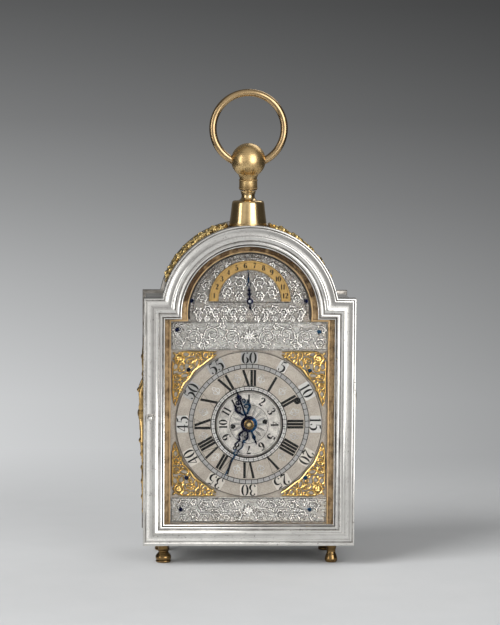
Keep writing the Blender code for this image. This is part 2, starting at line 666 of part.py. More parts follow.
# Gilt mounts
def side_fret(name, way):
    """A pierced mount on the case's side: pointed ends, rows of openings and a raised boss in the middle."""
    low, high = FLOOR + FRET_FOOT_MARGIN, SHOULDER - FRET_TOP_MARGIN
    middle_y, middle_z = (CASE_FRONT + CASE_BACK) / 2, (low + high) / 2
    half = (high - low) / 2
    half_outline = [(0.0, 1.0), (0.22, 0.93), (0.42, 0.90), (0.50, 0.80), (0.78, 0.74), (0.86, 0.60),
                    (0.70, 0.50), (0.92, 0.38), (0.94, 0.20), (0.80, 0.08)]
    right = half_outline + [(y, -z) for y, z in reversed(half_outline)]
    left = [(-y, z) for y, z in reversed(right[1:-1])]
    outline = [(middle_y + FRET_HALF_WIDTH * y, middle_z + half * z) for y, z in right + left]
    holes = []
    for up in (-1, 1):
        for along, across, size, tall in SIDE_FRET_HOLES:
            for side in (-1, 1):
                centre = (middle_y + side * across * FRET_HALF_WIDTH, middle_z + up * along * half)
                holes.append(circle(FRET_HOLE_RADIUS * size, 6, centre, tall, side * up * math.radians(24)))
        for along, size in SIDE_FRET_EYES:
            holes.append(circle(FRET_HOLE_RADIUS * size, 6, (middle_y, middle_z + up * along * half), 1.8))
    seat = way * (SHELL_SIDE + GAP)
    face = seat + way * FRET_THICKNESS
    fret = plate(name, [outline] + holes, min(seat, face), max(seat, face), "gilt", axis="X")
    radius = FRET_HALF_WIDTH * 0.55
    profile = [(0.0, (seat + face) / 2), (radius, (seat + face) / 2), (radius, face + way * FRET_BOSS_HEIGHT * 0.2),
               (radius * 0.8, face + way * FRET_BOSS_HEIGHT * 0.62),
               (radius * 0.45, face + way * FRET_BOSS_HEIGHT * 0.95), (0.0, face + way * FRET_BOSS_HEIGHT)]
    boss = turned("boss", profile, "gilt", (0.0, middle_y, middle_z), "X", 10)
    return join(fret, boss)


def arch_fret(name, way):
    """A pierced mount bent round the arch beside the pendant."""
    inner = SHELL_RADIUS + GAP
    start, end = inner * ARCH_FRET_START, inner * ARCH_FRET_END
    length, half = end - start, ARCH_FRET_HALF_WIDTH
    shares = [(0.0, 0.62), (0.10, 0.95), (0.24, 0.78), (0.38, 1.0), (0.54, 0.80), (0.70, 0.86), (0.84, 0.46),
              (1.0, 0.10)]
    side = [(start + length * along, half * across) for along, across in shares]
    outline = side + [(u, -v) for u, v in reversed(side)]
    holes = []
    for along, across, size in ARCH_FRET_HOLES:
        for v in (-across, across):
            holes.append(circle(FRET_HOLE_RADIUS * size, 6, (start + length * along, v * half), 1.5, math.pi / 2))
    along, size = ARCH_FRET_EYE
    holes.append(circle(FRET_HOLE_RADIUS * size, 6, (start + length * along, 0.0), 1.5, math.pi / 2))
    fret = plate(name, [outline] + holes, 0.0, ARCH_FRET_THICKNESS, "gilt", axis="Z")
    body = bmesh.new()
    body.from_mesh(fret.data)
    steps = 7
    for i in range(1, steps):
        geometry = body.verts[:] + body.edges[:] + body.faces[:]
        bmesh.ops.bisect_plane(body, geom=geometry, plane_co=(start + length * i / steps, 0.0, 0.0),
                               plane_no=(1.0, 0.0, 0.0))
    for vert in body.verts:
        angle, y, radius = vert.co.x / inner, vert.co.y, inner + vert.co.z
        vert.co = (way * radius * math.sin(angle), y, ARCH_CENTRE + radius * math.cos(angle))
    bpy.data.objects.remove(fret, do_unlink=True)
    return to_object(name, body, "gilt")


# Pendant and handle
def pendant_socket():
    """The fixed cone on the arch, with its neck and the bore for the ball's stem."""
    base = ARCH_CENTRE + SHELL_RADIUS - SHELL_INSET
    lip, roll = SOCKET_TOP, SOCKET_ROLL
    neck_top = lip + NECK_HEIGHT
    profile = [(0.0, base - SOCKET_BASE_RADIUS / 3), (SOCKET_BASE_RADIUS, base - SOCKET_BASE_RADIUS / 3),
               (SOCKET_BASE_RADIUS, base + SHELL_INSET), (SOCKET_TOP_RADIUS, lip - roll),
               (SOCKET_TOP_RADIUS * 0.95, lip - roll * 0.3), (SOCKET_TOP_RADIUS * 0.62, lip + roll * 0.4),
               (NECK_RADIUS * 1.2, lip + roll * 1.2), (NECK_RADIUS, lip + roll * 2.2),
               (NECK_RADIUS, neck_top - roll * 0.8), (NECK_RADIUS * 1.2, neck_top), (0.0, neck_top)]
    socket = turned("pendant_socket", profile, "gilt", sides=18)
    arch = rod("arch_seat", SHELL_RADIUS + GAP, -SOCKET_BASE_RADIUS * 2, SOCKET_BASE_RADIUS * 2,
               place=(0.0, 0.0, ARCH_CENTRE), axis="Y", sides=48)
    bore = rod("stem_bore", STEM_RADIUS + GAP, ARCH_CENTRE, neck_top + GAP, axis="Z")
    return cut(socket, arch, bore)


def pendant_ball():
    """The ball on its drum, with a stem that turns in the socket and a cross bore for the ring's pins."""
    top = DRUM_BOTTOM + DRUM_HEIGHT
    waist = DRUM_RADIUS * 0.76
    stem_end = DRUM_BOTTOM - STEM_LENGTH
    profile = [(0.0, stem_end), (STEM_RADIUS, stem_end), (STEM_RADIUS, DRUM_BOTTOM),
               (DRUM_RADIUS * 0.85, DRUM_BOTTOM), (DRUM_RADIUS, DRUM_BOTTOM + DRUM_ROUNDING),
               (DRUM_RADIUS, top - 2 * DRUM_ROUNDING), (DRUM_RADIUS * 0.88, top - DRUM_ROUNDING),
               (waist, top - DRUM_ROUNDING / 2)]
    start = math.asin(waist / BALL_RADIUS)
    steps = 8
    for i in range(steps + 1):
        angle = start + (math.pi - start) * i / steps
        radius = 0.0 if i == steps else BALL_RADIUS * math.sin(angle)
        profile.append((radius, BALL_CENTRE - BALL_RADIUS * math.cos(angle)))
    ball = turned("pendant_ball", profile, "gilt", sides=18)
    for way in (-1, 1):
        flat = sorted((way * BALL_FLAT, way * BALL_RADIUS * 1.5))
        cut(ball, box("flat", (flat[0], -BALL_RADIUS, BALL_CENTRE - BALL_RADIUS),
                      (flat[1], BALL_RADIUS, BALL_CENTRE + BALL_RADIUS)))
    bore = rod("pin_bore", RING_PIN_RADIUS + GAP, -BALL_RADIUS * 2, BALL_RADIUS * 2,
               place=(0.0, 0.0, BALL_CENTRE), axis="X", sides=10)
    cut(ball, bore)
    hang_on("pendant_axis", (0.0, 0.0, DRUM_BOTTOM), ball)


def ring_handle():
    """The carrying ring: round wire on an arc whose ends turn in as pins into the ball."""
    body = bmesh.new()
    sides = 8
    end = math.asin(RING_END / RING_RADIUS)
    rings = []
    for x, radius in ((RING_END - RING_PIN_LENGTH, RING_PIN_RADIUS), (RING_END, RING_PIN_RADIUS)):
        rings.append([(x, radius * math.sin(2 * math.pi * i / sides), BALL_CENTRE
                       + radius * math.cos(2 * math.pi * i / sides)) for i in range(sides)])
    for step in range(RING_STEPS + 1):
        angle = end + (2 * math.pi - 2 * end) * step / RING_STEPS
        outward = Vector((math.sin(angle), 0.0, -math.cos(angle)))
        along = Vector((math.cos(angle), 0.0, math.sin(angle)))
        centre = Vector((0.0, 0.0, RING_CENTRE)) + outward * RING_RADIUS
        ring = []
        for i in range(sides):
            turn = 2 * math.pi * i / sides
            point = centre - outward * RING_WIRE_RADIUS * math.cos(turn)
            point.y += RING_WIRE_RADIUS * math.sin(turn)
            if step in (0, RING_STEPS):
                target = RING_END if step == 0 else -RING_END
                point += along * ((target - point.x) / along.x)
            ring.append(tuple(point))
        rings.append(ring)
    rings += [[(-x, y, z) for x, y, z in ring] for ring in (rings[1], rings[0])]
    made = [[body.verts.new(point) for point in ring] for ring in rings]
    for one, other in zip(made, made[1:]):
        for i in range(sides):
            j = (i + 1) % sides
            body.faces.new((one[i], one[j], other[j], other[i]))
    body.faces.new(made[0])
    body.faces.new(made[-1])
    hang_on("ring_axis", (0.0, 0.0, BALL_CENTRE), to_object("ring_handle", body, "gilt"))


# Dial
def dial_mask():
    outer = inside_outline(FRAME_WIDTH + MASK_SHOW - MASK_LAP)
    inner = arched(HALF_WIDTH - FRAME_WIDTH - MASK_SHOW, SIGHT_BOTTOM - MASK_SILL, MASK_SHOULDER,
                   ARCH_RADIUS - FRAME_WIDTH - MASK_SHOW)
    return plate("dial_mask", [outer, inner], APPLIED_BACK - MASK_THICKNESS, APPLIED_BACK, "gilt")


def dial_plate():
    """The plate behind the dial pieces, with its feet towards the movement."""
    inset = SHELL_INSET + SHELL_WALL + FLANGE_WIDTH + GAP
    holes = [circle(HOUR_PIPE_RADIUS + GAP, 12, (0.0, DIAL_CENTRE)),
             circle(WINDING_HOLE_RADIUS, 8, BARREL_AXIS),
             circle(CENTRE_ARBOR_RADIUS + GAP, 8, (0.0, SCALE_CENTRE))]
    made = plate("dial_plate", [inside_outline(inset)] + holes, DIAL_FRONT, DIAL_BACK, "silvered")
    x = PLATE_HALF_WIDTH - PILLAR_INSET
    for z in (PLATE_BOTTOM + 2 * PILLAR_INSET, PLATE_TOP - 2 * PILLAR_INSET):
        for side in (-1, 1):
            join(made, rod("foot", DIAL_FOOT_RADIUS, DIAL_BACK - GAP, FRONT_PLATE - GAP, place=(side * x, 0.0, z),
                           sides=8))
    return made


def dial_pieces():
    front = APPLIED_BACK - BAND_THICKNESS
    w = BAND_HALF_WIDTH
    for name, low, high in (("lower_band", LOWER_BAND_BOTTOM, LOWER_BAND_BOTTOM + LOWER_BAND_HEIGHT),
                            ("upper_band", UPPER_BAND_BOTTOM, UPPER_BAND_TOP)):
        plate(name, [[(-w, low), (-w, high), (w, high), (w, low)]], front, APPLIED_BACK, "silvered")
    level = UPPER_BAND_TOP + GAP
    start = math.asin((level - ARCH_CENTRE) / ARCH_PLATE_RADIUS)
    steps = ARC_STEPS
    arch = []
    for i in range(steps + 1):
        angle = start + (math.pi - 2 * start) * i / steps
        arch.append((ARCH_PLATE_RADIUS * math.cos(angle), ARCH_CENTRE + ARCH_PLATE_RADIUS * math.sin(angle)))
    hole = circle(CENTRE_ARBOR_RADIUS + GAP, 12, (0.0, SCALE_CENTRE))
    plate("arch_plate", [arch, hole], front, APPLIED_BACK, "silvered")
    half_ring(front - GAP)
    spot = (BARREL_AXIS[0], BARREL_AXIS[1] - DIAL_CENTRE)
    plate("chapter_ring", [circle(CHAPTER_RADIUS, 48), circle(CHAPTER_INNER_RADIUS, 36),
                           circle(WINDING_HOLE_RADIUS, 8, spot)],
          RING_FRONT, APPLIED_BACK, "silvered", (0.0, 0.0, DIAL_CENTRE))


def half_ring(back):
    """The half ring scale in the arch."""
    steps = 18
    outer, inner = [], []
    for i in range(steps + 1):
        angle = math.pi * i / steps
        outer.append((SCALE_OUTER_RADIUS * math.cos(angle), SCALE_OUTER_RADIUS * math.sin(angle)))
        inner.append((SCALE_INNER_RADIUS * math.cos(angle), SCALE_INNER_RADIUS * math.sin(angle)))
    plate("sector_scale", [outer + inner[::-1]], back - SCALE_THICKNESS, back, "gilt", (0.0, 0.0, SCALE_CENTRE))


def spandrel(name, side, up):
    """A pierced corner piece: two straight edges, a hollow edge round the chapter ring and three openings."""
    clear = CHAPTER_RADIUS + 2 * GAP
    w = BAND_HALF_WIDTH - GAP
    h = CHAPTER_RADIUS - GAP
    low = math.asin(0.45)
    high = math.pi / 2 - low
    steps = 7
    edge = [(clear * math.cos(low + (high - low) * i / steps), clear * math.sin(low + (high - low) * i / steps))
            for i in range(steps + 1)]
    first, last = edge[0], edge[-1]
    scallop, nick = SPANDREL_SCALLOP, SPANDREL_NICK
    corner = [(last[0] + nick, h - 2 * nick), (w * 0.56, h), (w * 0.64, h - scallop), (w * 0.76, h - nick),
              (w * 0.84, h), (w - 3 * nick, h - 3 * nick), (w, h * 0.84), (w - nick, h * 0.76),
              (w - scallop, h * 0.64), (w, h * 0.56), (w - 2 * nick, first[1] + nick)]
    outline = edge + corner
    holes = [circle(SPANDREL_EYE_RADIUS, 7, (w * 0.84, h * 0.84), 1.35, math.pi / 4)]
    steep, flat = math.pi / 2 - SPANDREL_SLOT_BEARING, SPANDREL_SLOT_BEARING
    for angle, limit in ((steep, h / math.sin(steep)), (flat, w / math.cos(flat))):
        middle = (clear + limit) / 2
        place = (middle * math.cos(angle), middle * math.sin(angle))
        holes.append(circle(SPANDREL_SLOT_RADIUS, 6, place, 1.5, math.pi - angle))
    loops = [[(side * u, up * v) for u, v in loop] for loop in [outline] + holes]
    plate(name, loops, APPLIED_BACK - SPANDREL_THICKNESS, APPLIED_BACK, "gilt", (0.0, 0.0, DIAL_CENTRE))


# Hands and alarm disc
def hand(name, half_widths, holes, bore, back, place, bearing, finish_name="blued_steel"):
    """A hand from (distance, half width) pairs, tail first, with its openings and its centre bore."""
    side = [(width, along) for along, width in half_widths]
    outline = side + [(-width, along) for width, along in reversed(side)]
    loops = [outline, circle(bore, 10)] + holes
    made = plate(name, loops, back - HAND_THICKNESS, back, finish_name, place)
    made.rotation_euler = (0.0, bearing, 0.0)
    return made


def boss(radius, reach=math.radians(75), steps=6):
    """Half widths round a hand's boss, from one end of its circle to the other."""
    angles = [reach * (2 * i / steps - 1) for i in range(steps + 1)]
    return [(radius * math.sin(angle), radius * math.cos(angle)) for angle in angles]


def scaled(pairs, length, half_width):
    return [(along * length, across * half_width) for along, across in pairs]


def hands():
    place = (0.0, 0.0, DIAL_CENTRE)
    length = HOUR_HAND_LENGTH
    hour = scaled(HOUR_TAIL, HOUR_TAIL_LENGTH, HOUR_HAND_HALF_WIDTH) + boss(HOUR_BOSS_RADIUS)
    hour += scaled(HOUR_BLADE, length, HOUR_HAND_HALF_WIDTH)
    hour_holes = [circle(HOUR_EYE_RADIUS, 8, (2 * side * HOUR_EYE_RADIUS, length * 0.48), 1.5) for side in (-1, 1)]
    hand("hour_hand", hour, hour_holes, HOUR_PIPE_RADIUS + GAP, HOUR_HAND_BACK, place, HOUR_HAND_BEARING)
    length = MINUTE_HAND_LENGTH
    minute = boss(MINUTE_BOSS_RADIUS) + scaled(MINUTE_BLADE, length, MINUTE_HAND_HALF_WIDTH)
    minute_holes = [circle(MINUTE_EYE_RADIUS, 8, (0.0, length * 0.25), 1.2),
                    circle(MINUTE_SLOT_RADIUS, 8, (0.0, length * 0.43), 1.8)]
    hand("minute_hand", minute, minute_holes, CANNON_PIPE_RADIUS + GAP, MINUTE_HAND_BACK, place,
         MINUTE_HAND_BEARING)
    bore = CENTRE_ARBOR_RADIUS + GAP
    profile = [(bore, COLLET_BACK), (COLLET_RADIUS, COLLET_BACK), (COLLET_RADIUS * 0.85, CENTRE_ARBOR_END),
               (bore, CENTRE_ARBOR_END)]
    turned("hand_collet", profile, "brass", place, "Y", 14)
    arch_back = APPLIED_BACK - BAND_THICKNESS - GAP - SCALE_THICKNESS - GAP
    arch = scaled(ARCH_TAIL, ARCH_TAIL_LENGTH, ARCH_HAND_HALF_WIDTH) + boss(ARCH_BOSS_RADIUS)
    arch += scaled(ARCH_BLADE, ARCH_HAND_LENGTH, ARCH_HAND_HALF_WIDTH)
    arch_hand = hand("arch_hand", arch, [], CENTRE_ARBOR_RADIUS - GAP, arch_back, (0.0, 0.0, SCALE_CENTRE),
                     ARCH_HAND_BEARING)
    arbor = rod("arbor", CENTRE_ARBOR_RADIUS, arch_back - HAND_THICKNESS - GAP, FRONT_PLATE - GAP,
                place=(0.0, 0.0, SCALE_CENTRE), sides=8)
    arbor.rotation_euler = arch_hand.rotation_euler
    join(arch_hand, arbor)


def alarm_disc():
    radius = CHAPTER_INNER_RADIUS - GAP
    holes = [circle(HOUR_PIPE_RADIUS + GAP, 12)]
    for bearing in (SETTING_HOLE_BEARING, SETTING_HOLE_BEARING + math.pi):
        spot = (SETTING_HOLE_DISTANCE * math.sin(bearing), SETTING_HOLE_DISTANCE * math.cos(bearing))
        holes.append(circle(SETTING_HOLE_RADIUS, 7, spot))
    plate("alarm_disc", [circle(radius, 36)] + holes, APPLIED_BACK - ALARM_DISC_THICKNESS, APPLIED_BACK,
          "silvered", (0.0, 0.0, DIAL_CENTRE))


# Toothed wheels
def teeth(count, module, phase=0.0):
    """Outline of a wheel with pointed, straight-flanked teeth that leave room for the mate's."""
    pitch = module * count / 2
    root, tip = pitch - TOOTH_ROOT * module, pitch + TOOTH_TIP * module
    points = []
    for n in range(count):
        for radius, share in ((tip, n), (root, n + 0.5)):
            angle = phase + 2 * math.pi * share / count
            points.append((radius * math.sin(angle), radius * math.cos(angle)))
    return points


def meshing_phase(driver_phase, driver_teeth, teeth_count, bearing):
    """Phase of a wheel's first tooth so that a gap faces the driver's tooth along the line of centres."""
    pitch = 2 * math.pi / driver_teeth
    offset = ((bearing - driver_phase) % pitch) / pitch
    return bearing + math.pi + (0.5 + offset) * 2 * math.pi / teeth_count


def motion_work():
    """Cannon pinion, minute wheel and hour wheel: 3 to 1, then 4 to 1, so the hour hand turns once in twelve."""
    centre = (0.0, 0.0, DIAL_CENTRE)
    module = 2 * MOTION_CENTRES / (CANNON_LEAVES + MINUTE_WHEEL_TEETH)
    wheel_back = FRONT_PLATE - MOTION_WHEEL_CLEARANCE
    wheel_front = wheel_back - WHEEL_THICKNESS
    cannon = plate("cannon_pinion", [teeth(CANNON_LEAVES, module)], wheel_front - GAP, wheel_back + GAP, "steel",
                   centre)
    join(cannon, rod("pipe", CANNON_PIPE_RADIUS, MINUTE_HAND_FRONT, wheel_back, place=centre))
    cut(cannon, rod("bore", CENTRE_ARBOR_RADIUS + GAP, MINUTE_HAND_FRONT - GAP, FRONT_PLATE, place=centre))
    phase = meshing_phase(0.0, CANNON_LEAVES, MINUTE_WHEEL_TEETH, MOTION_BEARING)
    stud = (MOTION_AXIS[0], 0.0, MOTION_AXIS[1])
    minute = plate("minute_wheel", [teeth(MINUTE_WHEEL_TEETH, module, phase)], wheel_front, wheel_back, "brass",
                   stud)
    small = 2 * MOTION_CENTRES / (MINUTE_PINION_LEAVES + HOUR_WHEEL_TEETH)
    pinion = plate("pinion", [teeth(MINUTE_PINION_LEAVES, small)], wheel_front - PINION_LENGTH,
                   wheel_front + GAP, "brass", stud)
    join(minute, pinion)
    cut(minute, rod("bore", CENTRE_ARBOR_RADIUS + GAP, DIAL_BACK, FRONT_PLATE, place=stud))
    phase = meshing_phase(0.0, MINUTE_PINION_LEAVES, HOUR_WHEEL_TEETH, MOTION_BEARING + math.pi)
    hour_back = wheel_front - HOUR_WHEEL_CLEARANCE
    hour = plate("hour_wheel", [teeth(HOUR_WHEEL_TEETH, small, phase)], hour_back - WHEEL_THICKNESS, hour_back,
                 "brass", centre)
    join(hour, rod("pipe", HOUR_PIPE_RADIUS, HOUR_HAND_FRONT, hour_back - GAP, place=centre, sides=20))
    cut(hour, rod("bore", CANNON_PIPE_RADIUS + GAP, HOUR_HAND_FRONT - GAP, FRONT_PLATE, place=centre))


def train():
    """Going barrel, centre wheel and third wheel between the plates."""
    centre = (0.0, 0.0, DIAL_CENTRE)
    module = 2 * BARREL_DISTANCE / (BARREL_TEETH + CENTRE_PINION_LEAVES)
    rim = FRONT_PLATE_BACK + BARREL_CLEARANCE
    wheel = BACK_PLATE - WHEEL_THICKNESS - CENTRE_WHEEL_CLEARANCE
    second = 2 * THIRD_CENTRES / (CENTRE_WHEEL_TEETH + THIRD_PINION_LEAVES)
    spoke_end = second * (CENTRE_WHEEL_TEETH / 2 - TOOTH_ROOT) - WHEEL_RIM_WIDTH
    arbor = rod("centre_wheel", CENTRE_ARBOR_RADIUS, CENTRE_ARBOR_END, BACK_PLATE_BACK, "brass", centre, sides=10)
    join(arbor, plate("pinion", [teeth(CENTRE_PINION_LEAVES, module)], rim - GAP, rim + WHEEL_THICKNESS + GAP,
                      "brass", centre),
         plate("wheel", [teeth(CENTRE_WHEEL_TEETH, second)] + spokes(CENTRE_HUB_RADIUS, spoke_end, 4), wheel,
               wheel + WHEEL_THICKNESS, "brass", centre))
    axis = (BARREL_AXIS[0], 0.0, BARREL_AXIS[1])
    phase = meshing_phase(0.0, CENTRE_PINION_LEAVES, BARREL_TEETH, BARREL_BEARING)
    barrel = plate("going_barrel", [teeth(BARREL_TEETH, module, phase)], rim, rim + WHEEL_THICKNESS, "brass", axis)
    drum = rod("drum", BARREL_DRUM_RADIUS, rim + GAP, wheel - BARREL_DRUM_ROOM, place=axis, sides=32)
    join(barrel, drum)
    cut(barrel, rod("bore", BARREL_ARBOR_RADIUS + GAP, FRONT_PLATE, BACK_PLATE, place=axis))
    rod("winding_arbor", BARREL_ARBOR_RADIUS, RING_FRONT, BACK_PLATE_BACK, "steel", axis, sides=10)
    place = (THIRD_AXIS[0], 0.0, THIRD_AXIS[1])
    third = rod("third_wheel", CENTRE_ARBOR_RADIUS, FRONT_PLATE, BACK_PLATE_BACK, "brass", place, sides=10)
    phase = meshing_phase(0.0, CENTRE_WHEEL_TEETH, THIRD_PINION_LEAVES, THIRD_BEARING)
    start = FRONT_PLATE_BACK + PLATE_SPACING / 3
    disc = [circle(THIRD_WHEEL_RADIUS, 28)] + spokes(THIRD_HUB_RADIUS, THIRD_WHEEL_RADIUS - WHEEL_RIM_WIDTH, 4)
    join(third, plate("pinion", [teeth(THIRD_PINION_LEAVES, second, phase)], wheel - GAP,
                      wheel + WHEEL_THICKNESS + GAP, "brass", place),
         plate("disc", disc, start, start + WHEEL_THICKNESS, "brass", place))


def spokes(inner, outer, count):
    """Openings between the spokes of a wheel."""
    loops = []
    for n in range(count):
        middle = 2 * math.pi * n / count
        half = math.pi / count
        near = half * 0.66
        loop = []
        for share in (-1, -0.33, 0.33, 1):
            angle = middle + share * half * 0.80
            loop.append((outer * math.sin(angle), outer * math.cos(angle)))
        for share in (1, -1):
            angle = middle + share * near
            loop.append((inner * math.sin(angle), inner * math.cos(angle)))
        loops.append(loop)
    return loops


# Movement frame, alarm and escapement
def movement_plates():
    w = PLATE_HALF_WIDTH
    outline = [(-w, PLATE_BOTTOM), (-w, PLATE_TOP), (w, PLATE_TOP), (w, PLATE_BOTTOM)]
    pivot = CENTRE_ARBOR_RADIUS + GAP
    shared = [circle(pivot, 8, (0.0, DIAL_CENTRE)), circle(BARREL_ARBOR_RADIUS + GAP, 8, BARREL_AXIS),
              circle(pivot, 8, THIRD_AXIS), circle(pivot, 8, ALARM_AXIS)]
    front = plate("movement_front_plate", [outline] + shared, FRONT_PLATE, FRONT_PLATE_BACK, "brass")
    stud_end = FRONT_PLATE - MOTION_WORK_ROOM + MOTION_STUD_MARGIN
    stud = rod("stud", CENTRE_ARBOR_RADIUS, stud_end, FRONT_PLATE_BACK - GAP,
               place=(MOTION_AXIS[0], 0.0, MOTION_AXIS[1]), sides=10)
    join(front, stud)
    back = plate("movement_back_plate", [outline] + shared, BACK_PLATE, BACK_PLATE_BACK, "brass")
    for x in (PILLAR_INSET - w, w - PILLAR_INSET):
        for z in (PLATE_BOTTOM + PILLAR_INSET, PLATE_TOP - PILLAR_INSET):
            join(back, pillar((x, 0.0, z)))
    post_end = BACK_PLATE_BACK + BELL_DEPTH - BELL_WALL
    join(back, rod("post", PILLAR_RADIUS, BACK_PLATE + GAP, post_end, place=(BELL_AXIS[0], 0.0, BELL_AXIS[1])),
         rod("hammer_stud", CENTRE_ARBOR_RADIUS, BACK_PLATE + GAP, BACK_PLATE_BACK + HAMMER_STUD_LENGTH,
             place=(HAMMER_AXIS[0], 0.0, HAMMER_AXIS[1]), sides=10))


def pillar(place):
    low, high = FRONT_PLATE_BACK + GAP, BACK_PLATE + GAP
    middle = (low + high) / 2
    profile = [(0.0, low), (PILLAR_RADIUS, low), (PILLAR_RADIUS * 0.75, middle), (PILLAR_RADIUS, high),
               (0.0, high)]
    return turned("pillar", profile, "brass", place, "Y", 8)


def alarm_work():
    """Alarm barrel, bell on its post, and the hammer beside the bell's rim."""
    axis = (ALARM_AXIS[0], 0.0, ALARM_AXIS[1])
    start, end = FRONT_PLATE_BACK + PLATE_SPACING / 2 + ALARM_BARREL_CLEARANCE, BACK_PLATE - 2 * GAP
    arbor_end = BACK_PLATE_BACK + ALARM_ARBOR_REACH
    profile = [(0.0, FRONT_PLATE), (CENTRE_ARBOR_RADIUS, FRONT_PLATE), (CENTRE_ARBOR_RADIUS, start),
               (ALARM_BARREL_RADIUS, start), (ALARM_BARREL_RADIUS, end), (CENTRE_ARBOR_RADIUS, end),
               (CENTRE_ARBOR_RADIUS, arbor_end), (0.0, arbor_end)]
    turned("alarm_barrel", profile, "brass", axis, "Y", 20)
    mouth = BACK_PLATE_BACK + BELL_CLEARANCE
    crown = BACK_PLATE_BACK + BELL_DEPTH + GAP
    outer = [(BELL_RADIUS, mouth), (BELL_RADIUS * 0.93, mouth + 0.30 * (crown - mouth)),
             (BELL_RADIUS * 0.72, mouth + 0.72 * (crown - mouth)),
             (BELL_RADIUS * 0.40, mouth + 0.95 * (crown - mouth)), (0.0, crown)]
    inner = [(0.0, crown - BELL_WALL), (BELL_RADIUS * 0.38, crown - BELL_WALL - 0.05 * (crown - mouth)),
             (BELL_RADIUS * 0.68, mouth + 0.62 * (crown - mouth)),
             (BELL_RADIUS * 0.88, mouth + 0.26 * (crown - mouth)), (BELL_RADIUS - BELL_WALL, mouth)]
    turned("bell", inner + outer, "bell_metal", (BELL_AXIS[0], 0.0, BELL_AXIS[1]), "Y", 20)
    hammer()


def hammer():
    place = (HAMMER_AXIS[0], 0.0, HAMMER_AXIS[1])
    rise = BELL_AXIS[1] - HAMMER_AXIS[1] - BELL_RADIUS / 3
    across = BELL_RADIUS + HAMMER_HEAD_RADIUS + HAMMER_REST_ROOM - HAMMER_OFFSET[0]
    low, high = BACK_PLATE_BACK + GAP, BACK_PLATE_BACK + GAP + HAMMER_THICKNESS
    eye = 2 * CENTRE_ARBOR_RADIUS
    head = circle(HAMMER_HEAD_RADIUS, 12, (across, rise))
    half = HAMMER_ARM_HALF_WIDTH
    arm = [(-eye / 2, 0.0), (across - half, rise), (across + half, rise), (eye / 2, 0.0)]
    made = plate("alarm_hammer", [arm], low, high, "steel", place)
    join(made, plate("eye", [circle(eye, 16)], low, high, "steel", place),
         plate("head", [head], low, high + HAMMER_HEAD_REACH, "steel", place))
    return cut(made, rod("bore", CENTRE_ARBOR_RADIUS + GAP, BACK_PLATE, REAR, place=place, sides=10))


def escapement():
    """Platform across the plates' top edges, with the balance under its cock."""
    floor = PLATE_TOP + GAP
    top = floor + PLATFORM_THICKNESS
    box("escapement_platform", (-PLATFORM_HALF_WIDTH, FRONT_PLATE, floor),
        (PLATFORM_HALF_WIDTH, BACK_PLATE_BACK, top), "brass")
    middle = (FRONT_PLATE + BACK_PLATE_BACK) / 2
    level = top + BALANCE_LIFT
    rim = [circle(BALANCE_RADIUS, 24)] + spokes(BALANCE_HUB_RADIUS, BALANCE_RADIUS - BALANCE_RIM_WIDTH, 3)
    wheel = plate("balance_wheel", rim, level, level + WHEEL_THICKNESS, "brass", (0.0, middle, 0.0), "Z")
    staff_top = level + STAFF_REACH
    join(wheel, rod("staff", STAFF_RADIUS, top + GAP, staff_top, place=(0.0, middle, 0.0), axis="Z", sides=10))
    under = staff_top + GAP
    reach = BALANCE_RADIUS + 2 * GAP
    edge = PLATFORM_HALF_WIDTH
    half = COCK_HALF_WIDTH
    roof = under + COCK_THICKNESS
    cock = box("balance_cock", (reach + GAP, middle - half, top + GAP), (edge, middle + half, roof))
    half = COCK_ARM_HALF_WIDTH
    join(cock, box("arm", (-half, middle - half, under), (edge - GAP, middle + half, roof - GAP)))


def build():
    clear_scene()
    front = front_door()
    rear = rear_door()
    case_shell(front, rear)
    base_and_feet()
    side_fret("side_fret_left", -1)
    side_fret("side_fret_right", 1)
    arch_fret("arch_fret_left", -1)
    arch_fret("arch_fret_right", 1)
    pendant_socket()
    pendant_ball()
    ring_handle()
    dial_mask()
    dial_plate()
    dial_pieces()
    for up_name, up in (("upper", 1), ("lower", -1)):
        for side_name, side in (("left", -1), ("right", 1)):
            spandrel(f"spandrel_{up_name}_{side_name}", side, up)
    hands()
    alarm_disc()
    motion_work()
    train()
    movement_plates()
    alarm_work()
    escapement()


build()
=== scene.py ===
"""Looks of the arched travelling alarm clock: silver doors, gilt mounts, engraved dial, hands and ring.

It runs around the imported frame. Sizes in the code are millimetres, and Shape turns them into metres.
"""

import math

import bmesh
import bpy
from mathutils import Matrix, Vector


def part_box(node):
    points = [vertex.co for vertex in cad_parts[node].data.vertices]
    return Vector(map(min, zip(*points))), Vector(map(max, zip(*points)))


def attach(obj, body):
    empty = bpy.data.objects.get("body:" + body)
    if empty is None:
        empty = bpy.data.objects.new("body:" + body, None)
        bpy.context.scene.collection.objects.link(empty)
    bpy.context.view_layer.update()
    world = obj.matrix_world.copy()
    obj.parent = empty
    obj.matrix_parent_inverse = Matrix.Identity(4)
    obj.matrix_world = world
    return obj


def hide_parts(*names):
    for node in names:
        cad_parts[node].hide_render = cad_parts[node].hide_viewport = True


bl_info = {
    "name": "Travelling alarm clock",
    "version": (1, 0, 0),
    "blender": (4, 5, 0),
    "location": "View3D > Sidebar > Clock",
    "description": "Dresses the packed clock in silver, gilding, engraving and blued steel",
    "category": "Object",
}

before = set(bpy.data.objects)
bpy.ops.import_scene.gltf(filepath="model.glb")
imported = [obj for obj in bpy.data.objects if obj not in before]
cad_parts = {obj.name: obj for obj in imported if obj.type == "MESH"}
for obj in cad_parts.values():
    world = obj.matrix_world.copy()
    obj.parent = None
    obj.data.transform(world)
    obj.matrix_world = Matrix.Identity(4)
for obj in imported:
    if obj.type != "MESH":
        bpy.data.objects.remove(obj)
MM = 0.001


def box_mm(node):
    """Lowest and highest corner of a CAD node, in millimetres."""
    low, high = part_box(node)
    return low / MM, high / MM


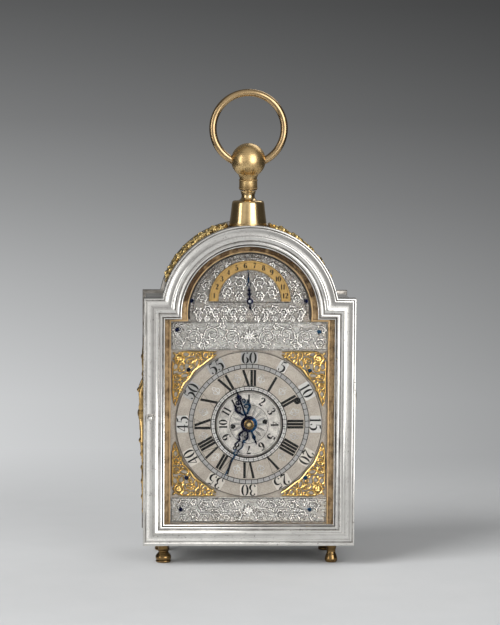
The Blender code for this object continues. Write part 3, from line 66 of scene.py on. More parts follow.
# Places read from the frame
DOOR_LOW, DOOR_HIGH = box_mm("front_door_frame")
REAR_LOW, REAR_HIGH = box_mm("rear_door_frame")
SHELL_LOW, SHELL_HIGH = box_mm("case_shell")
RING_LOW, RING_HIGH = box_mm("chapter_ring")
DISC_LOW, DISC_HIGH = box_mm("alarm_disc")
SCALE_LOW, SCALE_HIGH = box_mm("sector_scale")
ARCH_LOW, ARCH_HIGH = box_mm("arch_plate")
UPPER_LOW, UPPER_HIGH = box_mm("upper_band")
LOWER_LOW, LOWER_HIGH = box_mm("lower_band")
MASK_LOW, MASK_HIGH = box_mm("dial_mask")
HOUR_LOW, HOUR_HIGH = box_mm("hour_hand")
MINUTE_LOW, MINUTE_HIGH = box_mm("minute_hand")
POINTER_BACK = box_mm("arch_hand")[1].y
COLLET_LOW, COLLET_HIGH = box_mm("hand_collet")
SOCKET_TOP = box_mm("pendant_socket")[1].z
BALL_LOW, BALL_HIGH = box_mm("pendant_ball")
HANDLE_LOW, HANDLE_HIGH = box_mm("ring_handle")

# Outline of the doors
SHOULDER_STEP = 8.4
ARCH_DROP = 8.3
ARCH_STEPS = 72
HALF_WIDTH = DOOR_HIGH.x
BOTTOM = DOOR_LOW.z
ARCH_RADIUS = HALF_WIDTH - SHOULDER_STEP
ARCH_CENTRE = DOOR_HIGH.z - ARCH_RADIUS
SHOULDER = ARCH_CENTRE + ARCH_DROP

# Insets of the frame's inner edge and of the rebate behind it, and the depth of the lip between them
SIGHT = 10.6
REBATE = 8.2
LIP_DEPTH = 2.7
# Insets of the moulding's lines: (on the stiles, on the bottom rail)
RAIL_INSETS = ((0.0, 0.0), (1.2, 2.1), (4.9, 5.6), (7.9, 8.2), (SIGHT, SIGHT))
# How far a sheet laid over the CAD case stands off it
SKIN = 0.05

# Dial
DIAL_CENTRE = (RING_LOW.z + RING_HIGH.z) / 2
CHAPTER_RADIUS = (RING_HIGH.x - RING_LOW.x) / 2
DISC_RADIUS = (DISC_HIGH.x - DISC_LOW.x) / 2
SCALE_RADIUS = (SCALE_HIGH.x - SCALE_LOW.x) / 2
SCALE_CENTRE = SCALE_LOW.z
ARCH_PLATE_RADIUS = ARCH_HIGH.z - ARCH_CENTRE
# Distance and bearing of the winding hole from the dial's centre
WINDING_HOLE = (26.9, 64.0)

# Pendant and ring
# Seats spot-faced into the ball: how far out they lie, and their radius
SEAT_DEPTH = 8.0
SEAT_RADIUS = 2.35
# Where the ring's wire ends, and the pins that run on into the ball
RING_END = 8.3
PIN_RADIUS = 1.2
PIN_LENGTH = 4.0

# Sections of bars as (across, height) shares. A height below 0 is the sunk underside.
ROUND_BAR = ((-1.0, -1), (-1.0, 0.25), (-0.72, 0.72), (-0.3, 0.96), (0.3, 0.96), (0.72, 0.72), (1.0, 0.25),
             (1.0, -1))
# ORNAMENT's wide, low flanks take that darkening, a rim of painted shade round each stroke
ORNAMENT = ((-1.4, -1), (-1.4, 0.05), (-1.05, 0.10), (-0.9, 0.5), (-0.55, 0.86), (0.0, 1.0), (0.55, 0.86),
            (0.9, 0.5), (1.05, 0.10), (1.4, 0.05), (1.4, -1))
CUT_LINE = ((-1.0, -1), (-0.9, 0.2), (0.0, 1.0), (0.9, 0.2), (1.0, -1))
FLAT_BAR = ((-1.0, -1), (-1.0, 0.7), (-0.8, 1.0), (0.8, 1.0), (1.0, 0.7), (1.0, -1))
INLAY = ((-1.0, -1), (-1.0, 1.0), (1.0, 1.0), (1.0, -1))


# Shapes
class Shape:
    """Points in millimetres, faces, and how dark each point's tarnish and painted shade are, before they
    become a mesh.
    """

    def __init__(self):
        self.points, self.faces, self.grooves = [], [], []

    def grid(self, rows, grooves=None, wrap=True, closed=False, caps=True):
        """Skins rows of points of one length. Wrap closes each row, and closed joins the last to the first."""
        start, wide = len(self.points), len(rows[0])
        for n, row in enumerate(rows):
            self.points += [Vector(point) for point in row]
            if grooves is None:
                self.grooves += [0.0] * wide
            elif isinstance(grooves[0], (list, tuple)):
                self.grooves += list(grooves[n])
            else:
                self.grooves += list(grooves)
        around = wide if wrap else wide - 1
        for n in range(len(rows) if closed else len(rows) - 1):
            here, there = start + n * wide, start + (n + 1) % len(rows) * wide
            for i in range(around):
                j = (i + 1) % wide
                self.faces.append((here + i, here + j, there + j, there + i))
        if caps and wrap and not closed:
            last = start + (len(rows) - 1) * wide
            self.faces.append(tuple(range(start, start + wide)))
            self.faces.append(tuple(range(last + wide - 1, last - 1, -1)))

    def bar(self, stroke, place, section, rise, sink=0.05, closed=False, full=None):
        """Carries a bar's section along a stroke of (u, v, half width) points on a surface."""
        rows, count = [], len(stroke)
        full = full or max(width for _, _, width in stroke)
        for i, (u, v, width) in enumerate(stroke):
            before = stroke[(i - 1) % count] if closed else stroke[max(i - 1, 0)]
            after = stroke[(i + 1) % count] if closed else stroke[min(i + 1, count - 1)]
            along = Vector((after[0] - before[0], after[1] - before[1]))
            along = along.normalized() if along.length > 1e-6 else Vector((1.0, 0.0))
            side = Vector((-along.y, along.x))
            height = (rise(u, v) if callable(rise) else rise) * min(1.0, 0.25 + 0.75 * width / full)
            rows.append([place(u + side.x * across * width, v + side.y * across * width,
                               height * up if up >= 0 else -sink) for across, up in section])
        # Tarnish and painted shade sit along a bar's foot: its low flanks are darkened, which rims each bar
        # with the shade between it and its ground
        self.grid(rows, [1.0 if up < 0.3 else 0.55 if up < 0.6 else 0.0 for _, up in section], closed=closed)

    def bars(self, strokes, place, section, rise, sink=0.05, full=None):
        """Lays many bars. A stroke that ends where it starts is closed."""
        for stroke in strokes:
            closed = stroke[0][:2] == stroke[-1][:2] and len(stroke) > 3
            self.bar(stroke[:-1] if closed else stroke, place, section, rise, sink, closed, full)

    def lathe(self, profile, place, sides=48, grooves=None):
        """Turns (radius, height) points about the axis of a surface."""
        rows = []
        for radius, height in profile:
            rows.append([place(radius * math.cos(2 * math.pi * i / sides),
                               radius * math.sin(2 * math.pi * i / sides), height) for i in range(sides)])
        rings = None if grooves is None else [[depth] * sides for depth in grooves]
        ring = min(profile[0][0], profile[-1][0]) > 0
        self.grid(rows, rings, closed=ring, caps=not ring)

    def screw(self, place, u, v, radius, rise, turn=0.6, slot=0.17):
        """A round screw head cut by a slot, on a surface."""
        sides = 14
        near = math.asin(slot)
        self.lathe([(0, -0.2), (radius, -0.2), (radius, rise * 0.55), (0, rise * 0.55)],
                   lambda a, b, h: place(u + a, v + b, h), 20, (0.8, 0.8, 0.5, 0.9))
        for half in (0, math.pi):
            rows = []
            for share, height in ((1.0, rise * 0.5), (1.0, rise * 0.8), (0.8, rise)):
                row = []
                for i in range(sides + 1):
                    angle = turn + half + near + (math.pi - 2 * near) * i / sides
                    off = (1 - share) * radius * slot * 2
                    row.append(place(u + share * radius * math.cos(angle) - off * math.sin(turn + half),
                                     v + share * radius * math.sin(angle) + off * math.cos(turn + half),
                                     height))
                rows.append(row)
            self.grid(rows, (0.2,) * (sides + 1))

    def to_piece(self, name, material, body, replaces=(), slot=None, sharp=35):
        """Makes the shape a mesh that rides on a body, with edges over the sharp angle left sharp."""
        mesh = bpy.data.meshes.new(name)
        mesh.from_pydata([point * MM for point in self.points], [], self.faces)
        groove = mesh.attributes.new("groove", "FLOAT", "POINT")
        groove.data.foreach_set("value", self.grooves)
        work = bmesh.new()
        work.from_mesh(mesh)
        bmesh.ops.remove_doubles(work, verts=work.verts, dist=0.002 * MM)
        bmesh.ops.dissolve_degenerate(work, edges=work.edges, dist=0.001 * MM)
        bmesh.ops.recalc_face_normals(work, faces=work.faces)
        work.to_mesh(mesh)
        work.free()
        mesh.shade_smooth()
        mesh.set_sharp_from_angle(angle=math.radians(sharp))
        mesh.materials.append(material)
        made = bpy.data.objects.new(name, mesh)
        bpy.context.scene.collection.objects.link(made)
        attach(made, body)
        if replaces:
            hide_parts(*replaces)
        return made


# Surfaces that ornament is laid on: each gives the 3D point of (across, up, height off the surface)
def on_front(y, centre_x=0.0, centre_z=0.0):
    return lambda u, v, h: (centre_x + u, y - h, centre_z + v)


def on_rear(y, centre_x=0.0, centre_z=0.0):
    return lambda u, v, h: (centre_x - u, y + h, centre_z + v)


def on_side(x, way, centre_y, centre_z):
    return lambda u, v, h: (way * (x + h), centre_y + u, centre_z + v)


def on_arch(radius, way):
    def place(u, v, h):
        angle = u / radius
        return (way * (radius + h) * math.sin(angle), v, ARCH_CENTRE + (radius + h) * math.cos(angle))
    return place


def upright(centre_x, centre_y, base=0.0):
    return lambda u, v, h: (centre_x + u, centre_y + v, base + h)


# Strokes: lists of (u, v, half width)
def smooth(points, steps=5):
    """A curve through the points, with the widths carried along."""
    if len(points) < 3:
        return points
    out = []
    for i in range(len(points) - 1):
        a, b, c, d = (points[max(i - 1, 0)], points[i], points[i + 1], points[min(i + 2, len(points) - 1)])
        for step in range(steps):
            t = step / steps
            out.append(tuple(0.5 * (2 * b[k] + (c[k] - a[k]) * t + (2 * a[k] - 5 * b[k] + 4 * c[k] - d[k])
                                    * t ** 2 + (3 * b[k] - a[k] - 3 * c[k] + d[k]) * t ** 3)
                             for k in range(3)))
    out.append(points[-1])
    return [(u, v, max(width, 0.01)) for u, v, width in out]


def arc(centre, radius, start, end, width, steps=24, end_width=None):
    """Part of a circle between two bearings in degrees, clockwise from the top."""
    out = []
    for i in range(steps + 1):
        bearing = math.radians(start + (end - start) * i / steps)
        thick = width if end_width is None else width + (end_width - width) * i / steps
        out.append((centre[0] + radius * math.sin(bearing), centre[1] + radius * math.cos(bearing), thick))
    return out


def hoop(centre, radius, width, steps=64, tall=1.0):
    """A closed circle, or an ellipse where tall is not 1."""
    out = [(centre[0] + radius * math.sin(2 * math.pi * i / steps),
            centre[1] + radius * tall * math.cos(2 * math.pi * i / steps), width) for i in range(steps)]
    return out + [out[0]]


def scroll(centre, outer, inner, start, turns, width, end_width=None, steps=26):
    """A spiral from its outer radius to its eye, from a bearing. Negative turns run anticlockwise."""
    out = []
    end_width = width * 0.45 if end_width is None else end_width
    for i in range(steps + 1):
        share = i / steps
        bearing = math.radians(start + 360 * turns * share)
        radius = outer + (inner - outer) * share ** 0.8
        out.append((centre[0] + radius * math.sin(bearing), centre[1] + radius * math.cos(bearing),
                    width + (end_width - width) * share))
    return out


def leaf(root, bearing, length, width, bend=0.0, steps=7):
    """A pointed leaf from its root, along a bearing in degrees that turns by bend."""
    out, u, v = [], root[0], root[1]
    for i in range(steps + 1):
        share = i / steps
        out.append((u, v, max(width * math.sin(math.pi * (0.12 + 0.86 * share)) ** 0.9, 0.03)))
        angle = math.radians(bearing + bend * share)
        u, v = u + math.sin(angle) * length / steps, v + math.cos(angle) * length / steps
    return out


def fan(root, bearing, spread, count, length, width, bend=0.0):
    """Leaves that spread from one root, the middle one longest."""
    out = []
    for n in range(count):
        share = (2 * n / (count - 1) - 1) if count > 1 else 0.0
        out.append(leaf(root, bearing + spread * share / 2, length * (1 - 0.28 * abs(share)), width,
                        bend * share))
    return out


def flipped(strokes):
    return [[(-u, v, width) for u, v, width in stroke] for stroke in strokes]


def dropped(strokes):
    return [[(u, -v, width) for u, v, width in stroke] for stroke in strokes]


def both_sides(strokes):
    return strokes + flipped(strokes)


def moved(strokes, du, dv):
    return [[(u + du, v + dv, width) for u, v, width in stroke] for stroke in strokes]


def scaled(strokes, size):
    return [[(u * size, v * size, width * size) for u, v, width in stroke] for stroke in strokes]


def at_bearing(strokes, radius, bearing):
    """Turns strokes that stand at the top of a dial round to a bearing, with their base at a radius."""
    sine, cosine = math.sin(math.radians(bearing)), math.cos(math.radians(bearing))
    return [[(u * cosine + (v + radius) * sine, (v + radius) * cosine - u * sine, width) for u, v,
             width in stroke] for stroke in strokes]


# Numerals, one unit high with their base on 0: strokes and set width
def oval(centre_u, centre_v, half_u, half_v, thin, thick, steps=28):
    out = []
    for i in range(steps):
        angle = 2 * math.pi * i / steps
        out.append((centre_u + half_u * math.sin(angle), centre_v + half_v * math.cos(angle),
                    thin + (thick - thin) * abs(math.sin(angle)) ** 1.5))
    return out + [out[0]]


SIX = [smooth([(0.50, 0.88, 0.05), (0.40, 0.98, 0.022), (0.24, 0.92, 0.025), (0.11, 0.70, 0.055),
               (0.07, 0.40, 0.07), (0.13, 0.12, 0.05), (0.30, 0.0, 0.018), (0.48, 0.12, 0.055),
               (0.52, 0.32, 0.065), (0.42, 0.51, 0.03), (0.28, 0.55, 0.018), (0.14, 0.46, 0.018)], 4)]
DIGITS = {"0": ([oval(0.30, 0.5, 0.24, 0.49, 0.018, 0.065)], 0.64),
          "1": ([[(0.20, 0.0, 0.055), (0.20, 0.98, 0.055)], [(0.05, 0.84, 0.014), (0.20, 0.97, 0.026)],
                 [(0.04, 0.012, 0.016), (0.36, 0.012, 0.016)]], 0.42),
          "2": ([smooth([(0.10, 0.76, 0.055), (0.14, 0.92, 0.03), (0.30, 0.99, 0.02), (0.48, 0.88, 0.055),
                         (0.49, 0.68, 0.065), (0.34, 0.40, 0.04), (0.10, 0.08, 0.018)], 4),
                 smooth([(0.07, 0.04, 0.02), (0.25, 0.06, 0.05), (0.46, 0.03, 0.05), (0.57, 0.20, 0.014)],
                        4)], 0.62), "3": ([smooth([(0.10, 0.80, 0.05), (0.16, 0.94, 0.028),
                                                   (0.30, 0.99, 0.02), (0.45, 0.88, 0.05),
                                                   (0.45, 0.70, 0.055), (0.36, 0.57, 0.025),
                                                   (0.24, 0.54, 0.015)], 4),
                                           smooth([(0.24, 0.54, 0.015), (0.42, 0.50, 0.03),
                                                   (0.52, 0.32, 0.065), (0.48, 0.10, 0.055),
                                                   (0.30, 0.0, 0.02), (0.13, 0.06, 0.03),
                                                   (0.07, 0.20, 0.05)], 4)], 0.60),
          "4": ([[(0.42, 0.98, 0.018), (0.04, 0.30, 0.018)], [(0.02, 0.29, 0.02), (0.62, 0.29, 0.02)],
                 [(0.44, 0.98, 0.05), (0.44, 0.0, 0.055)], [(0.30, 0.012, 0.014), (0.58, 0.012, 0.014)]],
                0.66), "5": ([[(0.15, 0.96, 0.016), (0.12, 0.54, 0.018)],
                              smooth([(0.14, 0.94, 0.03), (0.32, 0.93, 0.045), (0.50, 1.0, 0.016)], 4),
                              smooth([(0.12, 0.54, 0.018), (0.28, 0.60, 0.03), (0.48, 0.50, 0.06),
                                      (0.52, 0.26, 0.07), (0.42, 0.06, 0.045), (0.24, 0.0, 0.02),
                                      (0.10, 0.08, 0.03), (0.07, 0.20, 0.045)], 4)], 0.60),
          "6": (SIX, 0.60), "7": ([smooth([(0.05, 0.84, 0.014), (0.09, 0.95, 0.03), (0.32, 0.94, 0.045),
                                           (0.56, 0.97, 0.02)], 4),
                                   smooth([(0.56, 0.96, 0.016), (0.38, 0.58, 0.03), (0.26, 0.24, 0.055),
                                           (0.24, 0.0, 0.055)], 4)], 0.60),
          "8": ([oval(0.30, 0.76, 0.17, 0.23, 0.02, 0.045), oval(0.30, 0.27, 0.22, 0.27, 0.02, 0.06)],
                0.62), "9": ([[(0.60 - u, 1.0 - v, width) for u, v, width in stroke] for stroke in SIX],
                             0.60),}
ROMAN = {
    "I": ([[(0.10, 0.0, 0.080), (0.10, 1.0, 0.080)]], 0.20),
    "V": ([[(0.05, 1.0, 0.080), (0.28, 0.0, 0.06)], [(0.50, 1.0, 0.008), (0.29, 0.0, 0.012)]], 0.52),
    "X": ([[(0.07, 1.0, 0.080), (0.42, 0.0, 0.080)], [(0.44, 1.0, 0.008), (0.05, 0.0, 0.008)]], 0.50),
}
HOURS = ("XII", "I", "II", "III", "IIII", "V", "VI", "VII", "VIII", "IX", "X", "XI")


def lettered(text, glyphs, height, gap=0.06, weight=1.0):
    """A number set in a line, centred on u = 0. Weight thickens its strokes."""
    strokes, place = [], 0.0
    for letter in text:
        shapes, wide = glyphs[letter]
        strokes += moved(shapes, place, 0.0)
        place += wide + gap
    strokes = scaled(moved(strokes, -(place - gap) / 2, 0.0), height)
    return [[(u, v, width * weight) for u, v, width in stroke] for stroke in strokes]


# Materials
# A Mix node's colour sockets: the two that go in and the one that comes out
MIX_FIRST, MIX_SECOND, MIX_RESULT = 6, 7, 2


def feed(tree, node, inputs):
    """Gives a node's inputs their values, or links them where a socket is given."""
    for key, value in inputs.items():
        if isinstance(value, bpy.types.NodeSocket):
            tree.links.new(value, node.inputs[key])
        else:
            node.inputs[key].default_value = value


def add(tree, kind, inputs=None, **settings):
    """Adds a node with its settings and inputs."""
    node = tree.nodes.new(kind)
    for key, value in settings.items():
        setattr(node, key, value)
    feed(tree, node, inputs or {})
    return node


def maths(tree, operation, *values, clamp=False):
    return add(tree, "ShaderNodeMath", dict(enumerate(values)), operation=operation,
               use_clamp=clamp).outputs[0]


def blend(tree, share, first, second):
    """A colour between two others."""
    inputs = {"Factor": share, MIX_FIRST: first, MIX_SECOND: second}
    return add(tree, "ShaderNodeMix", inputs, data_type="RGBA").outputs[MIX_RESULT]


def spread(tree, value, low, high, to_low=0.0, to_high=1.0, eased=False):
    """Stretches part of a value's range, with soft ends where eased."""
    inputs = {"Value": value, "From Min": low, "From Max": high, "To Min": to_low, "To Max": to_high}
    kind = "SMOOTHSTEP" if eased else "LINEAR"
    return add(tree, "ShaderNodeMapRange", inputs, interpolation_type=kind).outputs["Result"]


def over_piece(tree):
    """Places in the piece's own space."""
    return add(tree, "ShaderNodeTexCoord").outputs["Object"]


def clouds(tree, place, scale, detail, roughness=0.5, distortion=0.0):
    """Noise, as a value about 0.5."""
    inputs = {"Vector": place, "Scale": scale, "Detail": detail, "Roughness": roughness,
              "Distortion": distortion}
    return add(tree, "ShaderNodeTexNoise", inputs).outputs["Fac"]


def new_group(name, inputs, outputs):
    """A node group with (name, default) inputs and named outputs. A default of four numbers is a colour."""
    group = bpy.data.node_groups.new(name, "ShaderNodeTree")
    for label, value in inputs:
        wide = len(value) if isinstance(value, tuple) else 1
        kind = {1: "NodeSocketFloat", 3: "NodeSocketVector", 4: "NodeSocketColor"}[wide]
        group.interface.new_socket(name=label, in_out="INPUT", socket_type=kind).default_value = value
    for label in outputs:
        kind = "NodeSocketColor" if label == "Color" else "NodeSocketFloat"
        group.interface.new_socket(name=label, in_out="OUTPUT", socket_type=kind)
    return group, group.nodes.new("NodeGroupInput").outputs, group.nodes.new("NodeGroupOutput")


def use_group(tree, name, inputs):
    return add(tree, "ShaderNodeGroup", inputs, node_tree=bpy.data.node_groups[name]).outputs


def worn_metal_group():
    """Polished metal that has dulled in patches and taken fine scratches. The groove attribute darkens it to
    its tarnish: real tarnish in grooves, painted shade at bars' feet, the mask and the doors' lips.
    """
    group, given, end = new_group("worn metal", [("Metal", (0.8, 0.8, 0.8, 1)),
                                                 ("Tarnish", (0.2, 0.15, 0.1, 1)), ("Patches", 0.3),
                                                 ("Roughness", 0.3), ("Scale", 90.0), ("Pits", 0.0)],
                                  ["Color", "Roughness", "Height"])
    place = over_piece(group)
    patches = clouds(group, place, given["Scale"], 7.0, 0.62, 0.4)
    stretched = add(group, "ShaderNodeMapping", {"Vector": place, "Scale": (240.0, 240.0, 2600.0)})
    scratches = clouds(group, stretched.outputs["Vector"], 1.0, 4.0, 0.7)
    groove = add(group, "ShaderNodeAttribute", attribute_name="groove").outputs["Fac"]
    # The attribute's tarnish and painted shade, stronger in the metal's dull patches
    tarnish_and_painted_shade = maths(group, "MULTIPLY", groove, spread(group, patches, 0.3, 0.6, 0.55, 1.0))
    cloudy = maths(group, "MULTIPLY", spread(group, patches, 0.42, 0.72), given["Patches"])
    specks = clouds(group, place, 1500.0, 2.0)
    pits = maths(group, "MULTIPLY", spread(group, specks, 0.66, 0.70), given["Pits"])
    dull = maths(group, "ADD", pits, cloudy)
    worn = maths(group, "ADD", tarnish_and_painted_shade, dull, clamp=True)
    rough = maths(group, "MULTIPLY_ADD", worn, 0.3, given["Roughness"])
    feed(group, end, {"Color": blend(group, worn, given["Metal"], given["Tarnish"]),
                      "Roughness": maths(group, "MULTIPLY_ADD", scratches, 0.08, rough),
                      "Height": maths(group, "MULTIPLY_ADD", scratches, 0.25, patches)})


def matting_group():
    """Punched or frosted ground: fine grains, and the mask of the grain's hollows."""
    group, given, end = new_group("matting", [("Grain", 2600.0)], ["Height", "Hollows"])
    grains = add(group, "ShaderNodeTexVoronoi", {"Vector": over_piece(group), "Scale": given["Grain"]},
                 feature="F1").outputs["Distance"]
    feed(group, end, {"Height": grains, "Hollows": spread(group, grains, 0.25, 0.75)})


def cut_lines_group():
    """Fine engraved lines that curl over a ground, as a mask and a height."""
    group, given, end = new_group("cut lines", [("Scale", 300.0)], ["Mask", "Height"])
    swirl = clouds(group, over_piece(group), given["Scale"], 1.5, 0.45, 1.6)
    folded = maths(group, "PINGPONG", maths(group, "MULTIPLY", swirl, 13.0), 0.5)
    mask = spread(group, folded, 0.10, 0.24, 1.0, 0.0)
    feed(group, end, {"Mask": mask, "Height": spread(group, mask, 0.0, 1.0, 1.0, 0.0)})


def new_material(name):
    made = bpy.data.materials.new(name)
    made.use_nodes = True
    return made, made.node_tree, made.node_tree.nodes["Principled BSDF"]


# How much higher the matting's grains and the cut lines stand than the metal's own unevenness
GRAIN_HEIGHT = 1.4
LINE_HEIGHT = 2.0
BUMP_DISTANCE = 0.05 * MM


def metal(name, colour, tarnish, roughness, patches, scale, bump, grain=0.0, lines=0.0, depth=0.6,
          pits=0.0):
    """A worn metal, with a matted ground if it has grain and engraved lines if it has lines."""
    _, tree, shader = new_material(name)
    wear = use_group(tree, "worn metal", {"Metal": (*colour, 1), "Tarnish": (*tarnish, 1), "Patches": patches,
                                          "Roughness": roughness, "Scale": scale, "Pits": pits})
    base, height = wear["Color"], wear["Height"]
    if grain:
        matting = use_group(tree, "matting", {"Grain": grain})
        height = maths(tree, "MULTIPLY_ADD", matting["Height"], GRAIN_HEIGHT, height)
        dark = (*(part * 0.55 for part in tarnish), 1)
        base = blend(tree, spread(tree, matting["Hollows"], 0.0, 1.0, 0.0, 0.35), base, dark)
    if lines:
        cut = use_group(tree, "cut lines", {"Scale": lines})
        height = maths(tree, "MULTIPLY_ADD", cut["Height"], LINE_HEIGHT, height)
        base = blend(tree, spread(tree, cut["Mask"], 0.0, 1.0, 0.0, depth), base, (*tarnish, 1))
    relief = add(tree, "ShaderNodeBump", {"Strength": bump, "Distance": BUMP_DISTANCE, "Height": height})
    feed(tree, shader, {"Base Color": base, "Roughness": wear["Roughness"],
                        "Normal": relief.outputs["Normal"], "Metallic": 1.0})


def blued_steel(deep, light):
    """Steel coloured by heat, from deep blue to a greener blue."""
    _, tree, shader = new_material("blued steel")
    drift = clouds(tree, over_piece(tree), 150.0, 3.0)
    feed(tree, shader, {"Base Color": blend(tree, spread(tree, drift, 0.5, 0.62), (*deep, 1), (*light, 1)),
                        "Roughness": spread(tree, drift, 0.3, 0.7, 0.18, 0.32), "Metallic": 1.0})


def black_wax():
    """Wax that fills the cut numerals, a little uneven."""
    _, tree, shader = new_material("black wax")
    drift = clouds(tree, over_piece(tree), 900.0, 4.0)
    colour = blend(tree, spread(tree, drift, 0.45, 0.75), (0.004, 0.004, 0.004, 1), (0.012, 0.011, 0.010, 1))
    feed(tree, shader, {"Base Color": colour, "Roughness": spread(tree, drift, 0.3, 0.7, 0.5, 0.7),
                        "Specular IOR Level": 0.15})


def clear_glass():
    """Old plate glass. It lets the lamps' light through to the dial."""
    _, tree, shader = new_material("door glass")
    haze = clouds(tree, over_piece(tree), 30.0, 5.0)
    feed(tree, shader, {"Base Color": (0.98, 0.99, 0.99, 1), "Transmission Weight": 1.0, "IOR": 1.18,
                        "Roughness": spread(tree, haze, 0.4, 0.7, 0.0, 0.03)})
    path = add(tree, "ShaderNodeLightPath").outputs
    passing = maths(tree, "MAXIMUM", path["Is Shadow Ray"], path["Is Diffuse Ray"])
    clear = add(tree, "ShaderNodeBsdfTransparent")
    mix = add(tree, "ShaderNodeMixShader", {0: passing, 1: shader.outputs[0], 2: clear.outputs[0]})
    feed(tree, tree.nodes["Material Output"], {"Surface": mix.outputs[0]})


def make_materials(colours):
    """Every metal is: name, colour, tarnish, roughness, patches, their scale and the bump's strength."""
    worn_metal_group()
    matting_group()
    cut_lines_group()
    brown, dark_gold, umber = (0.055, 0.045, 0.035), (0.05, 0.026, 0.010), (0.030, 0.020, 0.012)
    metal("polished silver", colours.silver, brown, 0.11, 0.16, 90.0, 0.10, pits=0.8)
    metal("plain silver", colours.plain_silver, brown, 0.28, 0.30, 60.0, 0.12)
    # The rear door's silver: its dark colour is painted shade of the back of the clock, and its patches are
    # tarnish
    metal("tarnished silver in painted shade", (0.46, 0.43, 0.39), brown, 0.26, 0.80, 120.0, 0.2, pits=0.8)
    metal("silvered ground", colours.silvering, brown, 0.42, 0.22, 120.0, 0.30, grain=3200.0)
    metal("silvered plate", (0.60, 0.58, 0.56), brown, 0.26, 0.30, 110.0, 0.30, grain=4200.0)
    metal("silvered pale", (0.70, 0.645, 0.57), brown, 0.32, 0.25, 140.0, 0.3)
    metal("worn plate", (0.78, 0.73, 0.67), brown, 0.28, 0.50, 260.0, 0.7, lines=330.0, depth=0.35)
    metal("engraved silver", colours.engraving, brown, 0.22, 0.12, 110.0, 1.0, lines=620.0, depth=0.30)
    metal("engraved arch", (0.97, 0.92, 0.86), brown, 0.20, 0.30, 110.0, 1.6, lines=640.0, depth=0.55)
    metal("silvered bright", (0.80, 0.77, 0.73), brown, 0.26, 0.15, 120.0, 0.35)
    metal("leafage silver", (0.96, 0.93, 0.88), brown, 0.20, 0.12, 200.0, 0.6, lines=700.0, depth=0.3)
    metal("cut silver", (0.06, 0.052, 0.045), umber, 0.5, 0.4, 160.0, 0.2)
    metal("corner gilt", colours.gilding, dark_gold, 0.17, 0.35, 650.0, 1.3)
    # A darker, browner copy of the gilding for the side mounts: painted shade of the case's sides, with more
    # tarnish patches
    metal("side gilt in painted shade", (0.74, 0.50, 0.21), dark_gold, 0.18, 0.60, 420.0, 1.0)
    metal("turned brass", colours.brass, (0.30, 0.20, 0.09), 0.27, 0.45, 130.0, 0.12, pits=0.3)
    metal("polished brass", (0.84, 0.61, 0.31), (0.22, 0.14, 0.06), 0.10, 0.25, 120.0, 0.05)
    metal("ring brass", (0.57, 0.40, 0.21), (0.22, 0.14, 0.07), 0.14, 0.45, 160.0, 0.05)
    metal("foot brass", (0.28, 0.175, 0.07), (0.04, 0.024, 0.012), 0.10, 0.70, 220.0, 0.10)
    metal("mask gilt", (0.74, 0.50, 0.26), (0.11, 0.062, 0.03), 0.34, 0.40, 260.0, 0.3, pits=0.6)
    metal("scale gilt", (0.66, 0.42, 0.15), dark_gold, 0.36, 0.3, 150.0, 0.3, grain=3600.0)
    metal("movement brass", colours.movement, (0.26, 0.17, 0.07), 0.26, 0.25, 90.0, 0.12)
    metal("bell bronze", colours.bell, (0.25, 0.19, 0.10), 0.22, 0.25, 60.0, 0.1)
    metal("bright steel", colours.steel, (0.12, 0.11, 0.10), 0.26, 0.25, 120.0, 0.12)
    blued_steel(colours.deep_blue, colours.light_blue)
    black_wax()
    clear_glass()


def finish(name):
    return bpy.data.materials[name]


CAD_FINISHES = {
    "plain silver": ("case_shell", "base_plate", "glass_retainer", "front_hinge_door_leaf",
                     "front_hinge_case_leaf", "rear_hinge_case_leaf", "rear_hinge_door_leaf",
                     "rear_door_panel"),
    "silvered ground": ("dial_plate",),
    "engraved silver": ("upper_band", "lower_band"),
    "bright steel": ("front_hinge_pin", "rear_hinge_pin", "cannon_pinion", "winding_arbor", "alarm_hammer"),
    "movement brass": ("centre_wheel", "hour_wheel", "minute_wheel", "going_barrel", "third_wheel",
                       "balance_wheel", "alarm_barrel", "movement_front_plate", "movement_back_plate",
                       "escapement_platform", "balance_cock"),
    "bell bronze": ("bell",),
    "door glass": ("front_door_glass",),
}


def finish_cad_nodes():
    """Gives the CAD nodes that stay in view their materials."""
    for name, nodes in CAD_FINISHES.items():
        for node in nodes:
            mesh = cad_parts[node].data
            mesh.materials.clear()
            mesh.materials.append(finish(name))


# Outline of the doors and what lies inside it
def arched(half_width, bottom, shoulder, radius, steps=ARCH_STEPS):
    start = math.asin((shoulder - ARCH_CENTRE) / radius)
    points = [(-half_width, bottom), (-half_width, shoulder)]
    for i in range(steps + 1):
        angle = math.pi - start - (math.pi - 2 * start) * i / steps
        points.append((radius * math.cos(angle), ARCH_CENTRE + radius * math.sin(angle)))
    return points + [(half_width, shoulder), (half_width, bottom)]


def rail_inset(inset):
    """How far in a line of the moulding runs on the bottom rail, whose outer flat is the broadest."""
    for (low, low_rail), (high, high_rail) in zip(RAIL_INSETS, RAIL_INSETS[1:]):
        if inset <= high:
            return low_rail + (high_rail - low_rail) * (inset - low) / (high - low)
    return inset


def inside_outline(inset):
    return arched(HALF_WIDTH - inset, BOTTOM + rail_inset(inset), SHOULDER - inset, ARCH_RADIUS - inset)


def mitred(shape, section, grooves):
    """Carries (inset, y) points round the doors' outline."""
    rows = [[(x, y, z) for x, z in inside_outline(inset)] for inset, y in section]
    wide = len(rows[0])
    shape.grid(rows, [[depth] * wide for depth in grooves], closed=True)
